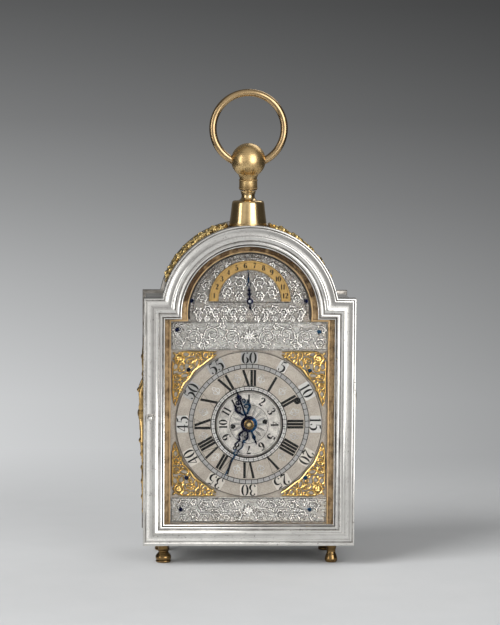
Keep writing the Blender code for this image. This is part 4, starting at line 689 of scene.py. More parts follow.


# The front frame's moulding: inset, depth behind the face, tarnish
FRONT_MOULDING = (
    # Outer flat and the line inside it
    (0.0, 0.45, 0.3), (0.1, 0.15, 0.0), (0.3, 0.02, 0.0), (0.6, 0.0, 0.0), (0.85, 0.04, 0.1),
    (1.0, 0.34, 0.7), (1.15, 0.48, 0.8), (1.3, 0.46, 0.7), (1.45, 0.32, 0.1),
    # Hollow
    (1.65, 0.28, 0.0), (2.1, 0.37, 0.0), (2.6, 0.46, 0.0), (3.1, 0.53, 0.04), (3.6, 0.56, 0.12),
    (4.1, 0.55, 0.1), (4.5, 0.50, 0.15), (4.7, 0.50, 0.3), (4.9, 0.45, 0.35), (5.1, 0.32, 0.25),
    (5.3, 0.18, 0.15),
    # Roll and the deep groove
    (5.45, 0.08, 0.1), (5.75, 0.0, 0.0), (6.05, 0.02, 0.0), (6.35, 0.10, 0.0), (6.65, 0.22, 0.0),
    (6.95, 0.38, 0.0), (7.25, 0.58, 0.0), (7.45, 0.78, 0.1), (7.55, 1.08, 0.8), (7.75, 1.20, 0.85),
    (8.15, 1.22, 0.5), (8.4, 1.15, 0.2),
    # Inner bow, the cut and the bead
    (8.55, 1.0, 0.0), (8.8, 0.98, 0.0), (9.1, 1.10, 0.0), (9.35, 1.30, 0.0), (9.5, 1.50, 0.1),
    (9.58, 1.90, 1.0), (9.75, 2.05, 1.0), (9.92, 1.95, 1.0), (10.0, 1.66, 0.1), (10.1, 1.58, 0.0),
    (10.3, 1.63, 0.0), (10.45, 1.71, 0.0), (SIGHT, 1.86, 0.4),
)


def cut_away(piece, low, high, turned=False):
    """Cuts a box, given by two corners in millimetres, or the round bar along x that fits it."""
    mesh = bpy.data.meshes.new("room")
    work = bmesh.new()
    if turned:
        bmesh.ops.create_cone(work, cap_ends=True, segments=40, radius1=0.5, radius2=0.5, depth=1.0,
                              matrix=Matrix.Rotation(math.pi / 2, 4, "Y"))
    else:
        bmesh.ops.create_cube(work, size=1.0)
    for vert in work.verts:
        vert.co = Vector([(low[i] + (vert.co[i] + 0.5) * (high[i] - low[i])) * MM for i in range(3)])
    work.to_mesh(mesh)
    work.free()
    room = bpy.data.objects.new("room", mesh)
    bpy.context.scene.collection.objects.link(room)
    cut = piece.modifiers.new("room", "BOOLEAN")
    cut.operation, cut.solver, cut.object = "DIFFERENCE", "EXACT", room
    bpy.context.view_layer.update()
    result = bpy.data.meshes.new_from_object(piece.evaluated_get(bpy.context.evaluated_depsgraph_get()))
    piece.modifiers.clear()
    piece.data = result
    bpy.data.objects.remove(room, do_unlink=True)


def hinge_room(piece, leaf_node, seam, way):
    """Sinks a hinge leaf and its knuckles into a door's frame. Way points from the seam into the frame."""
    low, high = box_mm(leaf_node)
    far = low.y if way < 0 else high.y
    span = sorted((seam - way * 0.6, far + way * 0.3))
    cut_away(piece, (HALF_WIDTH - 1.1, span[0], low.z - 0.3), (HALF_WIDTH + 3, span[1], high.z + 0.3))
    span = sorted((seam - way * 0.6, seam + way * 1.6))
    cut_away(piece, (HALF_WIDTH - 2.3, span[0], low.z - 0.3), (HALF_WIDTH + 3, span[1], high.z + 0.3))


# Doors
def rear_moulding():
    """The rear frame's plainer moulding: an outer bead, a flat and a bowed slope to the panel."""
    slope = [(6.8 + 3.6 * i / 6, 0.30 + 1.4 * i / 6 + 1.2 * i / 6 * (1 - i / 6), 0.0) for i in range(1, 7)]
    return [(0.0, 1.0, 0.2), (0.25, 0.55, 0.0), (0.9, 0.45, 0.1), (1.0, 0.30, 0.7), (1.2, 0.06, 0.1),
            (1.5, 0.0, 0.0), (6.3, 0.0, 0.0), (6.6, 0.06, 0.2), (6.8, 0.30, 0.9), *slope, (SIGHT, 1.95, 0.3)]


KNOB_NECK = ((0, -0.3), (1.25, -0.3), (1.30, 0.25), (0.95, 0.45), (0.72, 0.62), (0.78, 0.80))
KNOB_GROOVES = (0.9, 0.8, 0.3, 0.9, 1.0, 0.7)
BALL_STEPS = 9


def build_door(side, moulding, outside, inside, way, material, lip_painted_shade):
    """A door's moulded frame and ball knob. Way points out of the clock: -1 in front, 1 behind."""
    body = f"{side}_door"
    lip = outside - way * LIP_DEPTH
    section = [(inset, outside - way * depth) for inset, depth, _ in moulding]
    section += [(SIGHT, lip), (REBATE, lip), (REBATE, inside), (0.3, inside), (0.0, inside + way * 0.3)]
    shape = Shape()
    # The lip's wall is darkened by lip_painted_shade: painted shade of the gap behind the frame's inner edge
    mitred(shape, section, [groove for _, _, groove in moulding] + [lip_painted_shade, lip_painted_shade, 0.3, 0.2, 0.2])
    door = shape.to_piece(f"{side}_frame", finish(material), body, [f"{body}_frame"], "silver", 50)
    hinge_room(door, f"{side}_hinge_door_leaf", inside - way * 0.15, way)
    low, high = box_mm(f"{body}_knob")
    reach, radius = high.y - low.y, (high.x - low.x) / 2
    profile = list(KNOB_NECK)
    for i in range(1, BALL_STEPS + 1):
        angle = math.radians(30 + 150 * i / BALL_STEPS)
        profile.append((max(radius * math.sin(angle), 0.0), reach - radius - radius * math.cos(angle)))
    surface, seat = (on_front, high.y) if way < 0 else (on_rear, low.y)
    knob = Shape()
    knob.lathe(profile, surface(seat, (low.x + high.x) / 2, (low.z + high.z) / 2), 32,
               [*KNOB_GROOVES, *[0.0] * BALL_STEPS])
    knob.to_piece(f"{side}_knob", finish("polished silver"), body, [f"{body}_knob"], "silver", 50)


def build_doors():
    build_door("front", FRONT_MOULDING, DOOR_LOW.y, DOOR_HIGH.y, -1, "polished silver", 1.0)
    build_door("rear", rear_moulding(), REAR_HIGH.y, REAR_LOW.y, 1, "tarnished silver in painted shade", 0.6)


# Case
def build_arch_sheet():
    """The bent sheet over the case's arch."""
    # From its foot on the right, by the angle over the horizontal, to its foot on the left
    low_angle, sweep = 12.5, 155.0
    radius = SHELL_HIGH.z - ARCH_CENTRE + SKIN
    front, back = SHELL_LOW.y + SKIN, SHELL_HIGH.y - SKIN
    under, steps = radius - 0.4, 96
    rows = []
    for i in range(steps + 1):
        angle = math.radians(low_angle + sweep * i / steps)
        rows.append([(r * math.cos(angle), y, ARCH_CENTRE + r * math.sin(angle))
                     for r, y in ((radius, front), (radius, back), (under, back), (under, front))])
    sheet = Shape()
    sheet.grid(rows)
    sheet.to_piece("arch_sheet", finish("plain silver"), "case", slot="silver")


# The bell's outside, as shares of its rim and its depth
BELL_OUTSIDE = ((0.985, 0.10), (0.96, 0.20), (0.93, 0.30), (0.84, 0.53), (0.72, 0.72), (0.56, 0.87),
                (0.40, 0.95), (0.2, 0.99), (0.0, 1.0))
BELL_WALL = 0.8


def build_bell():
    low, high = box_mm("bell")
    rim, deep = (high.z - low.z) / 2, high.y - low.y
    profile = [(0.0, deep - BELL_WALL), (0.38 * rim, 0.95 * deep - BELL_WALL), (0.68 * rim, 0.62 * deep),
               (0.88 * rim, 0.26 * deep), (rim - BELL_WALL, 0.0), (rim, 0.0)]
    profile += [(radius * rim, height * deep) for radius, height in BELL_OUTSIDE]
    bell = Shape()
    bell.lathe(profile, on_rear(low.y, (low.x + high.x) / 2, (low.z + high.z) / 2), 64)
    bell.to_piece("turned_bell", finish("bell bronze"), "case", ["bell"], "bell_metal", 40)


# Pendant, ring and feet
BALL_NECK = 4.35


def ball_drum():
    """Height of the drum under the ball, and the ball's radius and centre."""
    drum = SOCKET_TOP + 0.3
    radius = (BALL_HIGH.z - drum - 6.4) / 2
    return drum, radius, BALL_HIGH.z - radius


def build_cone():
    """The cone on the arch, its shoulder and the collar that the ball turns on."""
    seat, lip, top = SHELL_HIGH.z, SOCKET_TOP - 5.0, SOCKET_TOP
    profile = [(0, seat - 1.2), (9.6, seat - 1.2), (9.6, seat + 0.3), (9.35, seat + 0.9), (9.40, seat + 1.6),
               (9.05, seat + 4.0), (8.6, seat + 7.5), (8.25, lip - 1.6), (8.15, lip - 1.0), (7.85, lip - 0.3),
               (7.3, lip + 0.05), (5.8, lip + 0.15), (4.7, lip + 0.25), (4.1, lip + 0.7), (3.6, lip + 1.3),
               (3.35, lip + 2.1), (3.4, top - 2.0), (3.55, top - 1.4), (3.7, top - 1.3), (3.75, top - 1.1),
               (3.6, top - 1.0), (3.75, top - 0.5), (4.0, top), (0, top)]
    grooves = [0.5, 0.5, 0.8, 0.7, 0.1, 0.0, 0.0, 0.0, 0.0, 0.0, 0.1, 0.3, 0.8, 0.2, 0.0, 0.0, 0.0, 0.8,
               0.2, 0.0, 0.8, 0.1, 0.3, 0.6]
    cone = Shape()
    cone.lathe(profile, upright(0, 0), 96, grooves)
    cone.to_piece("pendant_cone", finish("polished brass"), "case", ["pendant_socket"], "gilt", 40)


def build_ball():
    """The ball on its drum, with a spot-faced seat for each end of the ring."""
    drum, radius, centre = ball_drum()
    profile = [(0, BALL_LOW.z), (2.0, BALL_LOW.z), (2.0, drum), (4.1, drum), (4.45, drum + 0.15),
               (4.5, drum + 0.5), (4.35, drum + 0.65), (4.75, drum + 0.85), (4.85, drum + 1.1),
               (4.7, drum + 1.35), (4.6, drum + 1.5), (4.6, drum + 4.6), (4.5, drum + 4.75),
               (4.75, drum + 4.95), (4.85, drum + 5.2), (4.75, drum + 5.45), (4.4, drum + 5.6),
               (BALL_NECK, drum + 6.1)]
    grooves = [0.5, 0.5, 0.5, 0.8, 0.2, 0.3, 1.0, 0.2, 0.0, 0.5, 0.8, 0.0, 0.9, 0.2, 0.0, 0.2, 0.9, 0.8]
    start, steps = math.asin(BALL_NECK / radius), 28
    for i in range(1, steps + 1):
        angle = start + (math.pi - start) * i / steps
        profile.append((max(radius * math.sin(angle), 0.0), centre - radius * math.cos(angle)))
        grooves.append(0.0)
    ball = Shape()
    ball.lathe(profile, upright(0, 0), 80, grooves)
    made = ball.to_piece("ball", finish("turned brass"), "pendant", ["pendant_ball"], "gilt", 40)
    for way in (-1, 1):
        ends = sorted((way * SEAT_DEPTH, way * (SEAT_DEPTH + 3)))
        cut_away(made, (ends[0], -SEAT_RADIUS, centre - SEAT_RADIUS),
                 (ends[1], SEAT_RADIUS, centre + SEAT_RADIUS), True)


def build_ring():
    """The ring's wire, with its ends cut flat and a pin on each that runs into the ball."""
    _, _, pin_height = ball_drum()
    wire = (HANDLE_HIGH.y - HANDLE_LOW.y) / 2
    half = (HANDLE_HIGH.x - HANDLE_LOW.x) / 2 - wire
    centre = HANDLE_HIGH.z - wire - half
    start = math.asin(RING_END / half)
    sides, steps = 16, 96
    turns = [2 * math.pi * i / sides for i in range(sides)]
    rows = [[(x, PIN_RADIUS * math.sin(turn), pin_height + PIN_RADIUS * math.cos(turn)) for turn in turns]
            for x in (RING_END - PIN_LENGTH, RING_END)]
    for step in range(steps + 1):
        angle = start + (2 * math.pi - 2 * start) * step / steps
        outward = Vector((math.sin(angle), 0, -math.cos(angle)))
        along = Vector((math.cos(angle), 0, math.sin(angle)))
        middle = Vector((0, 0, centre)) + outward * half
        row = []
        for turn in turns:
            point = middle - outward * wire * math.cos(turn)
            point.y += wire * math.sin(turn)
            if step in (0, steps):
                point += along * (((RING_END if step == 0 else -RING_END) - point.x) / along.x)
            row.append(point)
        rows.append(row)
    rows += [[(-x, y, z) for x, y, z in row] for row in (rows[1], rows[0])]
    ring = Shape()
    ring.grid(rows)
    ring.to_piece("ring", finish("ring brass"), "ring", ["ring_handle"], "gilt", 50)


# Turned feet as (radius, height): the front left and both rear ones are pears, the front right one a vase
PEAR = ((0, 0.0), (3.2, 0.0), (3.7, 0.25), (3.9, 0.7), (3.85, 1.1), (3.55, 1.35), (3.75, 1.6), (4.0, 2.2),
        (4.05, 2.7), (3.9, 3.3), (3.45, 4.1), (2.8, 4.9), (2.4, 5.3), (2.3, 5.45), (2.6, 5.6), (2.65, 5.85),
        (2.45, 6.1), (2.3, 6.3), (2.55, 6.6), (2.7, 7.2), (2.75, 8.0), (2.8, 10.2), (0, 10.2))
VASE = ((0, 0.0), (2.5, 0.0), (2.9, 0.3), (3.2, 1.0), (3.25, 1.6), (3.15, 2.3), (2.95, 3.1), (2.55, 4.2),
        (2.3, 4.9), (2.22, 5.4), (2.3, 6.2), (2.6, 7.3), (2.75, 8.2), (2.95, 8.8), (2.95, 10.2), (0, 10.2))


def build_feet():
    for name, outline in (("front_left", PEAR), ("front_right", VASE), ("rear_left", PEAR),
                          ("rear_right", PEAR)):
        node = f"foot_{name}"
        low, high = box_mm(node)
        share = (high.z - low.z) / outline[-1][1]
        foot = Shape()
        widths = [radius for radius, _ in outline]
        grooves = [0.9 if 0 < i < len(widths) - 1 and widths[i] < min(widths[i - 1], widths[i + 1]) - 0.1
                   else 0.0 for i in range(len(widths))]
        foot.lathe([(radius, height * share) for radius, height in outline],
                   upright((low.x + high.x) / 2, (low.y + high.y) / 2, low.z), 40, grooves)
        foot.to_piece(f"turned_foot_{name}", finish("foot brass"), "case", [node], "gilt", 45)


# Gilt mounts
def side_mount_strokes(half_height, half_width):
    """One quarter of the side mount's scrollwork, from the middle up and to one side."""
    h, w = half_height, half_width
    return [smooth([(0.0, h * 0.99, 0.3), (w * 0.10, h * 0.90, 0.7), (w * 0.34, h * 0.88, 0.8),
                    (w * 0.42, h * 0.80, 0.7), (w * 0.62, h * 0.76, 0.8), (w * 0.80, h * 0.68, 0.8),
                    (w * 0.80, h * 0.56, 0.7), (w * 0.66, h * 0.48, 0.6), (w * 0.86, h * 0.38, 0.8),
                    (w * 0.93, h * 0.24, 0.8), (w * 0.84, h * 0.10, 0.7), (w * 0.74, 0.0, 0.8)]),
            scroll((w * 0.46, h * 0.62), 4.4, 1.0, 170, 1.4, 0.75),
            scroll((w * 0.48, h * 0.30), 5.2, 1.1, 10, -1.4, 0.8),
            scroll((w * 0.26, h * 0.80), 2.9, 0.7, 200, 1.3, 0.6),
            smooth([(0.0, h * 0.86, 0.6), (w * 0.06, h * 0.70, 0.7), (w * 0.22, h * 0.56, 0.7),
                    (w * 0.16, h * 0.42, 0.7), (w * 0.06, h * 0.30, 0.8), (w * 0.16, h * 0.18, 0.7)]),
            leaf((w * 0.62, h * 0.46), 120, 5.0, 0.9, -40), leaf((w * 0.20, h * 0.44), 60, 5.2, 0.9, 50),
            leaf((w * 0.56, h * 0.16), 20, 5.0, 0.9, -50), leaf((w * 0.30, h * 0.70), 40, 4.4, 0.8, 60)]


# How far the side mounts' carving stands out: (height above the floor, relief)
SIDE_RELIEF = ((16, 0.8), (31, 1.6), (52, 1.9), (58, 2.5), (68, 2.8), (73, 3.3), (86, 3.3), (91, 1.3),
               (99, 1.9), (104, 1.7), (112, 0.9))

# Studs down the side mounts' middle, by height from the mounts' middle
SIDE_STUDS = (-48, -41, -33, -26, -19, -12, 14, 22, 31, 40, 48)


def build_side_mounts():
    for name, way in (("left", -1), ("right", 1)):
        node = f"side_fret_{name}"
        low, high = box_mm(node)
        seat = min(abs(low.x), abs(high.x))
        middle = (low.z + high.z) / 2
        place = on_side(seat, way, (low.y + high.y) / 2, middle)
        half_height, half_width = (high.z - low.z) / 2, (high.y - low.y) / 2

        def relief(u, v):
            """The carving stands highest in the middle, over the boss, and thins to the ends."""
            height = middle + v
            for (below, thin), (above, thick) in zip(SIDE_RELIEF, SIDE_RELIEF[1:]):
                if height <= above:
                    return thin + (thick - thin) * max(height - below, 0.0) / (above - below)
            return SIDE_RELIEF[-1][1]
        quarter = side_mount_strokes(half_height, half_width)
        strokes = both_sides(quarter) + dropped(both_sides(quarter))
        strokes += fan((0, half_height * 0.84), 0, 100, 5, half_height * 0.15, 0.8)
        strokes += dropped(fan((0, half_height * 0.84), 0, 100, 5, half_height * 0.15, 0.8))
        mount = Shape()
        mount.bars(strokes, place, ORNAMENT, relief, 0.0)
        mount.bars([hoop((0, 2.0), half_width * 0.60, 0.9, 40)], place, ROUND_BAR, 3.0, 0.0)
        mount.bars(fan((0, 2.0), 0, 315, 8, half_width * 0.55, 1.5), place, ROUND_BAR, 3.5, 0.0)
        for v in SIDE_STUDS:
            mount.lathe([(0, 0), (1.7, 0), (1.7, relief(0, v) * 0.7), (1.1, relief(0, v) * 1.15),
                         (0, relief(0, v) * 1.3)], on_side(seat, way, (low.y + high.y) / 2, middle + v), 16,
                        (0.5, 0.9, 0.4, 0.0, 0.0))
        mount.lathe([(0, 0), (2.6, 0), (2.6, 2.4), (2.0, 3.4), (1.0, 3.8), (0, 3.9)],
                    on_side(seat, way, (low.y + high.y) / 2, middle + 2), 24, (0.5, 0.9, 0.7, 0.2, 0.0, 0.0))
        mount.to_piece(f"side_mount_{name}", finish("side gilt in painted shade"), "case", [node], "gilt", 50)


def build_arch_mounts():
    for name, way in (("left", -1), ("right", 1)):
        node = f"arch_fret_{name}"
        radius = SHELL_HIGH.z - ARCH_CENTRE + 0.3
        place = on_arch(radius, way)
        start, end = radius * math.radians(14), radius * math.radians(72)
        length, half = end - start, 13.0
        side = [smooth([(start, 0.0, 0.6), (start + 0.5, half * 0.55, 0.8),
                        (start + length * 0.10, half * 0.90, 0.8),
                        (start + length * 0.22, half * 0.76, 0.7),
                        (start + length * 0.36, half * 0.95, 0.8),
                        (start + length * 0.50, half * 0.82, 0.7),
                        (start + length * 0.66, half * 0.84, 0.8),
                        (start + length * 0.82, half * 0.48, 0.7), (start + length * 0.98, 0.0, 0.4)]),
                scroll((start + length * 0.17, half * 0.46), 4.6, 1.0, 270, 1.4, 0.8),
                scroll((start + length * 0.40, half * 0.50), 4.6, 1.0, 100, -1.4, 0.8),
                scroll((start + length * 0.63, half * 0.40), 3.8, 0.9, 270, 1.4, 0.7),
                leaf((start + length * 0.26, half * 0.30), 60, 5.0, 1.0, 40),
                leaf((start + length * 0.50, half * 0.26), 110, 5.0, 1.0, -40),
                leaf((start + length * 0.70, half * 0.14), 70, 6.0, 0.9, 30)]
        mount = Shape()

        def relief(u, _):
            return 2.1 + 0.35 * math.sin(0.8 * u) + 0.25 * math.sin(1.9 * u)
        mount.bars(side + dropped(side), place, ORNAMENT, relief, 0.0)
        mount.bars([hoop((start + length * 0.29, 0), 2.6, 0.8, 28),
                    hoop((start + length * 0.53, 0), 2.2, 0.7, 28)], place, ROUND_BAR, 1.8, 0.0)
        edge = [leaf((start + length * (i + 0.3) / 12, half * 0.72), 25 + 110 * (i % 2), 3.4, 0.8, 30)
                for i in range(11)]
        edge += [hoop((start + length * (i + 0.8) / 12, half * 0.86), 1.1, 0.5, 12) for i in range(11)]
        mount.bars(edge + dropped(edge), place, ORNAMENT, relief, 0.0)
        mount.bars([[(start + 1 + (length - 3) * i / 16, 0, 0.8 - 0.02 * i) for i in range(17)]], place,
                   ROUND_BAR, 1.3, 0.0)
        mount.to_piece(f"arch_mount_{name}", finish("corner gilt"), "case", [node], "gilt", 50)


# Dial
def build_mask():
    """The gilt frame round the dial, with a bright edge line where it meets the dial."""
    show, edge = 3.0, 0.75
    outer = inside_outline(HALF_WIDTH - MASK_HIGH.x)
    inner_half = DOOR_HIGH.x - SIGHT - show
    shoulder = SHOULDER - SIGHT - 1.4
    front, back = MASK_LOW.y, MASK_HIGH.y

    def inner(extra):
        return arched(inner_half + extra, BOTTOM + SIGHT - 1.0 - extra, shoulder + extra,
                      ARCH_RADIUS - SIGHT - show + extra)

    # The face's values are tarnish and painted shade: the mask lies in the shade of the door's rim, and the
    # bead by the dial is left bright
    loops = [(outer, back, 0.9), (outer, front, 0.8), (inner(edge + 1.2), front, 0.45),
             (inner(edge + 0.4), front, 0.6), (inner(edge + 0.15), front + 0.1, 1.0),
             (inner(edge - 0.05), front, 0.2), (inner(0.35), front - 0.05, 0.0), (inner(0.12), front, 0.0),
             (inner(0.0), front + 0.15, 0.0), (inner(0.0), back, 0.9)]
    shape = Shape()
    rows = [[(x, y, z) for x, z in loop] for loop, y, _ in loops]
    # Painted shade: the arch's part lies deepest in the door's shade and is darkened to full tarnish
    tarnish_and_painted_shade = [[max(groove, 1.0) if z > SCALE_CENTRE and 0.1 < groove else groove for _, _, z in row]
               for row, (_, _, groove) in zip(rows, loops)]
    shape.grid(rows, tarnish_and_painted_shade, closed=True)
    shape.to_piece("mask", finish("mask gilt"), "case", ["dial_mask"], "gilt", 35)


# Grooves of a plate's six edges, from its outer back edge over the face to its inner back edge
PLATE_GROOVES = (0.6, 0.3, 0.0, 0.0, 0.3, 0.6)


def flat_ring(shape, centre_z, outer, inner, front, back, steps=128, chamfer=0.15):
    """A flat ring facing the front, with its edges broken."""
    rows = []
    for radius, y in ((outer, back), (outer, front + chamfer), (outer - chamfer, front),
                      (inner + chamfer, front), (inner, front + chamfer), (inner, back)):
        rows.append([(radius * math.sin(2 * math.pi * i / steps), y,
                      centre_z + radius * math.cos(2 * math.pi * i / steps)) for i in range(steps)])
    shape.grid(rows, [[groove] * steps for groove in PLATE_GROOVES], closed=True)


def half_hour_flower():
    """A three-leaved flower on a stalk that stands on v = 0."""
    half = [smooth([(0.15, 1.4, 0.2), (1.0, 1.4, 0.26), (1.75, 2.2, 0.28), (1.45, 3.2, 0.26),
                    (0.6, 2.9, 0.2)], 3),
            smooth([(0.3, 3.2, 0.2), (0.8, 3.9, 0.24), (0.45, 4.8, 0.22), (0.0, 5.2, 0.16)], 3),
            leaf((0.1, 0.6), 70, 1.1, 0.26, -30)]
    return both_sides(half) + [leaf((0, 1.7), 0, 2.2, 0.36), [(0, 0, 0.2), (0, 1.9, 0.24)]]


# Which grounds of the minute numerals, counted in fives, are polished or pale. The rest have gone grey
BRIGHT_PLAQUES = (1, 2, 3, 9)
PALE_PLAQUES = (4, 5, 6, 7, 8)
# Radii on the chapter ring: the minute track, the quarter-hour track and the numerals' feet
TRACK_INSIDE, TRACK_MIDDLE, TRACK_OUTSIDE = 28.15, 29.25, 30.25
QUARTERS_INSIDE, QUARTERS_MIDDLE, QUARTERS_OUTSIDE = 17.0, 18.1, 19.0
HOUR_FEET, PLAQUE_FEET, MINUTE_FEET, FLOWER_FEET = 19.3, 30.55, 30.65, 20.9
# How high a cut line's filling stands over its plate
WAX_RISE = 0.06
INLAY_RISE = 0.03


def build_chapter_ring(dial):
    front, back = RING_LOW.y, RING_HIGH.y
    inner = DISC_RADIUS + 0.3
    ring = Shape()
    flat_ring(ring, DIAL_CENTRE, CHAPTER_RADIUS, inner, front, back)
    ring.to_piece("chapter_ring_plate", finish("silvered ground"), "case", ["chapter_ring"], "silvered_dial")
    place = on_front(front, 0, DIAL_CENTRE)
    track, plaques, pale, flowers = Shape(), Shape(), Shape(), Shape()
    track.bars([hoop((0, 0), TRACK_MIDDLE, 0.9, 160)], place, INLAY, INLAY_RISE)
    plaques.bars([hoop((0, 0), QUARTERS_MIDDLE, 0.9, 120)], place, INLAY, INLAY_RISE)
    for n in range(12):
        half = 2.3 if n == 1 else 4.3
        ground = plaques if n in BRIGHT_PLAQUES else pale if n in PALE_PLAQUES else track
        ground.bars(at_bearing([smooth([(-half, 2.9, 2.2), (1 - half, 2.9, 2.9), (half - 1, 2.9, 2.9),
                                        (half, 2.9, 2.2)], 3)], PLAQUE_FEET, 30 * n), place, INLAY,
                    INLAY_RISE)
        flowers.bars(at_bearing(half_hour_flower(), FLOWER_FEET, 30 * n + 15), place, CUT_LINE, 0.10)
    track.to_piece("chapter_tracks", finish("silvered plate"), "case", slot="silvered_dial")
    pale.to_piece("pale_plaques", finish("silvered pale"), "case", slot="silvered_dial")
    plaques.to_piece("numeral_plaques", finish("silvered bright"), "case", slot="silvered_dial")
    flowers.to_piece("half_hour_flowers", finish("silvered bright"), "case", slot="silvered_dial")
    black = Shape()
    lines = [hoop((0, 0), radius, width, 160) for radius, width in
             ((36.6, 0.12), (TRACK_OUTSIDE, 0.17), (TRACK_INSIDE, 0.17), (QUARTERS_OUTSIDE, 0.2),
              (QUARTERS_MIDDLE, 0.08), (QUARTERS_INSIDE, 0.28))]
    for minute in range(60):
        lines += at_bearing([[(0, 28.2, 0.15), (0, 30.2, 0.15)]], 0, 6 * minute + 3)
    for step in range(48):
        lines += at_bearing([[(0, 17.1, 0.13), (0, 19.0, 0.13)]], 0, 7.5 * step)
        if step % 4 == 0:
            lines += at_bearing([[(0, 17.1, 0.04), (0, 17.6, 0.3), (0, 18.1, 0.04)]], 0, 7.5 * step + 3.75)
    tall, small = in_millimetres(dial.hour_numerals), in_millimetres(dial.minute_numerals)
    for n, hour in enumerate(HOURS):
        numeral = lettered(hour, ROMAN, tall, 0.0)
        wide = max(abs(u) for stroke in numeral for u, _, _ in stroke) + 0.45
        numeral += [[(-wide, 0.0, 0.08), (wide, 0.0, 0.08)], [(-wide, tall, 0.08), (wide, tall, 0.08)]]
        lines += at_bearing(numeral, HOUR_FEET, 30 * n)
        lines += at_bearing(lettered(str(5 * n or 60), DIGITS, small, 0.08, 1.45), MINUTE_FEET, 30 * n)
    black.bars(lines, place, INLAY, WAX_RISE)
    distance, bearing = WINDING_HOLE[0], math.radians(WINDING_HOLE[1])
    spot = (distance * math.sin(bearing), distance * math.cos(bearing))
    black.lathe([(0, -0.5), (1.75, -0.5), (1.75, 0.07), (0, 0.07)],
                on_front(front, spot[0], DIAL_CENTRE + spot[1]), 28)
    black.to_piece("chapter_ring_numerals", finish("black wax"), "case", slot="silvered_dial")


def build_alarm_disc(dial):
    front, back = DISC_LOW.y, DISC_HIGH.y
    disc = Shape()
    flat_ring(disc, DIAL_CENTRE, DISC_RADIUS, 2.9, front, back, 96)
    disc.to_piece("alarm_disc_plate", finish("worn plate"), "alarm_setting", ["alarm_disc"], "silvered_dial")
    place = on_front(front, 0, DIAL_CENTRE)
    black = Shape()
    lines = [hoop((0, 0), 16.0, 0.10, 100), hoop((0, 0), 9.75, 0.10, 80), hoop((0, 0), 15.2, 0.05, 100)]
    tall = in_millimetres(dial.alarm_numerals)
    for n in range(1, 13):
        lines += at_bearing(lettered(str(n), DIGITS, tall, 0.06, 1.9), 11.0, 30 * (n - 1))
    # Holes that the disc is turned by
    for bearing in (82, 262):
        lines += at_bearing([hoop((0, 8.1), 0.65, 0.65, 20)], 0, bearing)
    black.bars(lines, place, INLAY, 0.05)
    black.to_piece("alarm_disc_numerals", finish("black wax"), "alarm_setting", slot="silvered_dial")
    cut = Shape()
    petals = []
    for n in range(16):
        petals += at_bearing([leaf((0, 4.4), 0, 4.6, 0.55), [(0.85, 4.4, 0.07), (0.95, 7.6, 0.07)]], 0,
                             22.5 * n)
        petals += at_bearing([arc((0, 8.6), 0.8, -90, 90, 0.10, 8)], 0, 22.5 * n + 11.25)
    cut.bars(petals, place, CUT_LINE, 0.09)
    cut.to_piece("alarm_disc_rosette", finish("silvered plate"), "alarm_setting", slot="silvered_dial")


def build_scale():
    """The half ring in the arch with its numerals."""
    width, front, back = 4.8, SCALE_LOW.y, SCALE_HIGH.y
    shape = Shape()
    rows, steps = [], 72
    for radius, y in ((SCALE_RADIUS, back), (SCALE_RADIUS, front + 0.12), (SCALE_RADIUS - 0.12, front),
                      (SCALE_RADIUS - width + 0.12, front), (SCALE_RADIUS - width, front + 0.12),
                      (SCALE_RADIUS - width, back)):
        rows.append([(radius * math.cos(math.pi * i / steps), y,
                      SCALE_CENTRE + radius * math.sin(math.pi * i / steps)) for i in range(steps + 1)])
    columns = [list(column) for column in zip(*rows)]
    shape.grid(columns, PLATE_GROOVES)
    shape.to_piece("half_ring_scale", finish("scale gilt"), "case", ["sector_scale"], "gilt")
    place = on_front(front, 0, SCALE_CENTRE)
    marks = Shape()
    lines = []
    for n in range(13):
        lines += at_bearing([[(0, SCALE_RADIUS - 0.9, 0.06), (0, SCALE_RADIUS - 0.2, 0.06)]], 0,
                            -88 + 176 * n / 12)
    for n in range(12):
        strokes = lettered(str(n + 1), DIGITS, 2.5, 0.06, 2.2)
        bearing = math.radians(-81 + 162 * n / 11)
        middle = SCALE_RADIUS - width / 2 - 0.1
        lines += moved(strokes, middle * math.sin(bearing), middle * math.cos(bearing) - 1.15)
    lines += [arc((0, 0), SCALE_RADIUS - 0.15, -90, 90, 0.06, 60),
              arc((0, 0), SCALE_RADIUS - 1.0, -90, 90, 0.05, 60),
              arc((0, 0), SCALE_RADIUS - width + 0.3, -90, 90, 0.06, 60)]
    marks.bars(lines, place, INLAY, 0.05)
    marks.to_piece("scale_numerals", finish("black wax"), "case", slot="gilt")


# Engraving
def vine(centre, radius, way, dense=True):
    """A scroll of leafage: a spiral stem with leaves that curl off it."""
    strokes = [scroll(centre, radius, radius * 0.16, 200 if way > 0 else 160, 1.55 * way, 0.17, 0.12, 34)]
    for n in range(7):
        bearing = 200 * (1 if way > 0 else 0.8) + way * 62 * n
        reach = radius * (1 - 0.075 * n)
        angle = math.radians(bearing)
        root = (centre[0] + reach * math.sin(angle), centre[1] + reach * math.cos(angle))
        strokes.append(leaf(root, bearing + way * 40, radius * 0.42, 0.22, way * 70, 5))
        if dense:
            strokes.append(leaf(root, bearing + way * 150, radius * 0.40, 0.18, -way * 60, 5))
    return strokes


def palmette(centre, size):
    """A fan of leaves over two small scrolls."""
    u, v = centre
    strokes = fan((u, v - size * 0.35), 0, 150, 7, size, 0.3, 25)
    strokes += [scroll((u + size * 0.35, v - size * 0.52), size * 0.28, 0.2, 250, 1.3, 0.2),
                scroll((u - size * 0.35, v - size * 0.52), size * 0.28, 0.2, 110, -1.3, 0.2)]
    return strokes + [arc((u, v - size * 0.35), size * 0.25, -90, 90, 0.16, 10)]


def border(half_wide, half_tall, inset, width=0.1):
    """A rectangular line inside a plate's edge."""
    u, v = half_wide - inset, half_tall - inset
    return [[(-u, -v, width), (u, -v, width)], [(-u, v, width), (u, v, width)],
            [(-u, -v, width), (-u, v, width)], [(u, -v, width), (u, v, width)]]


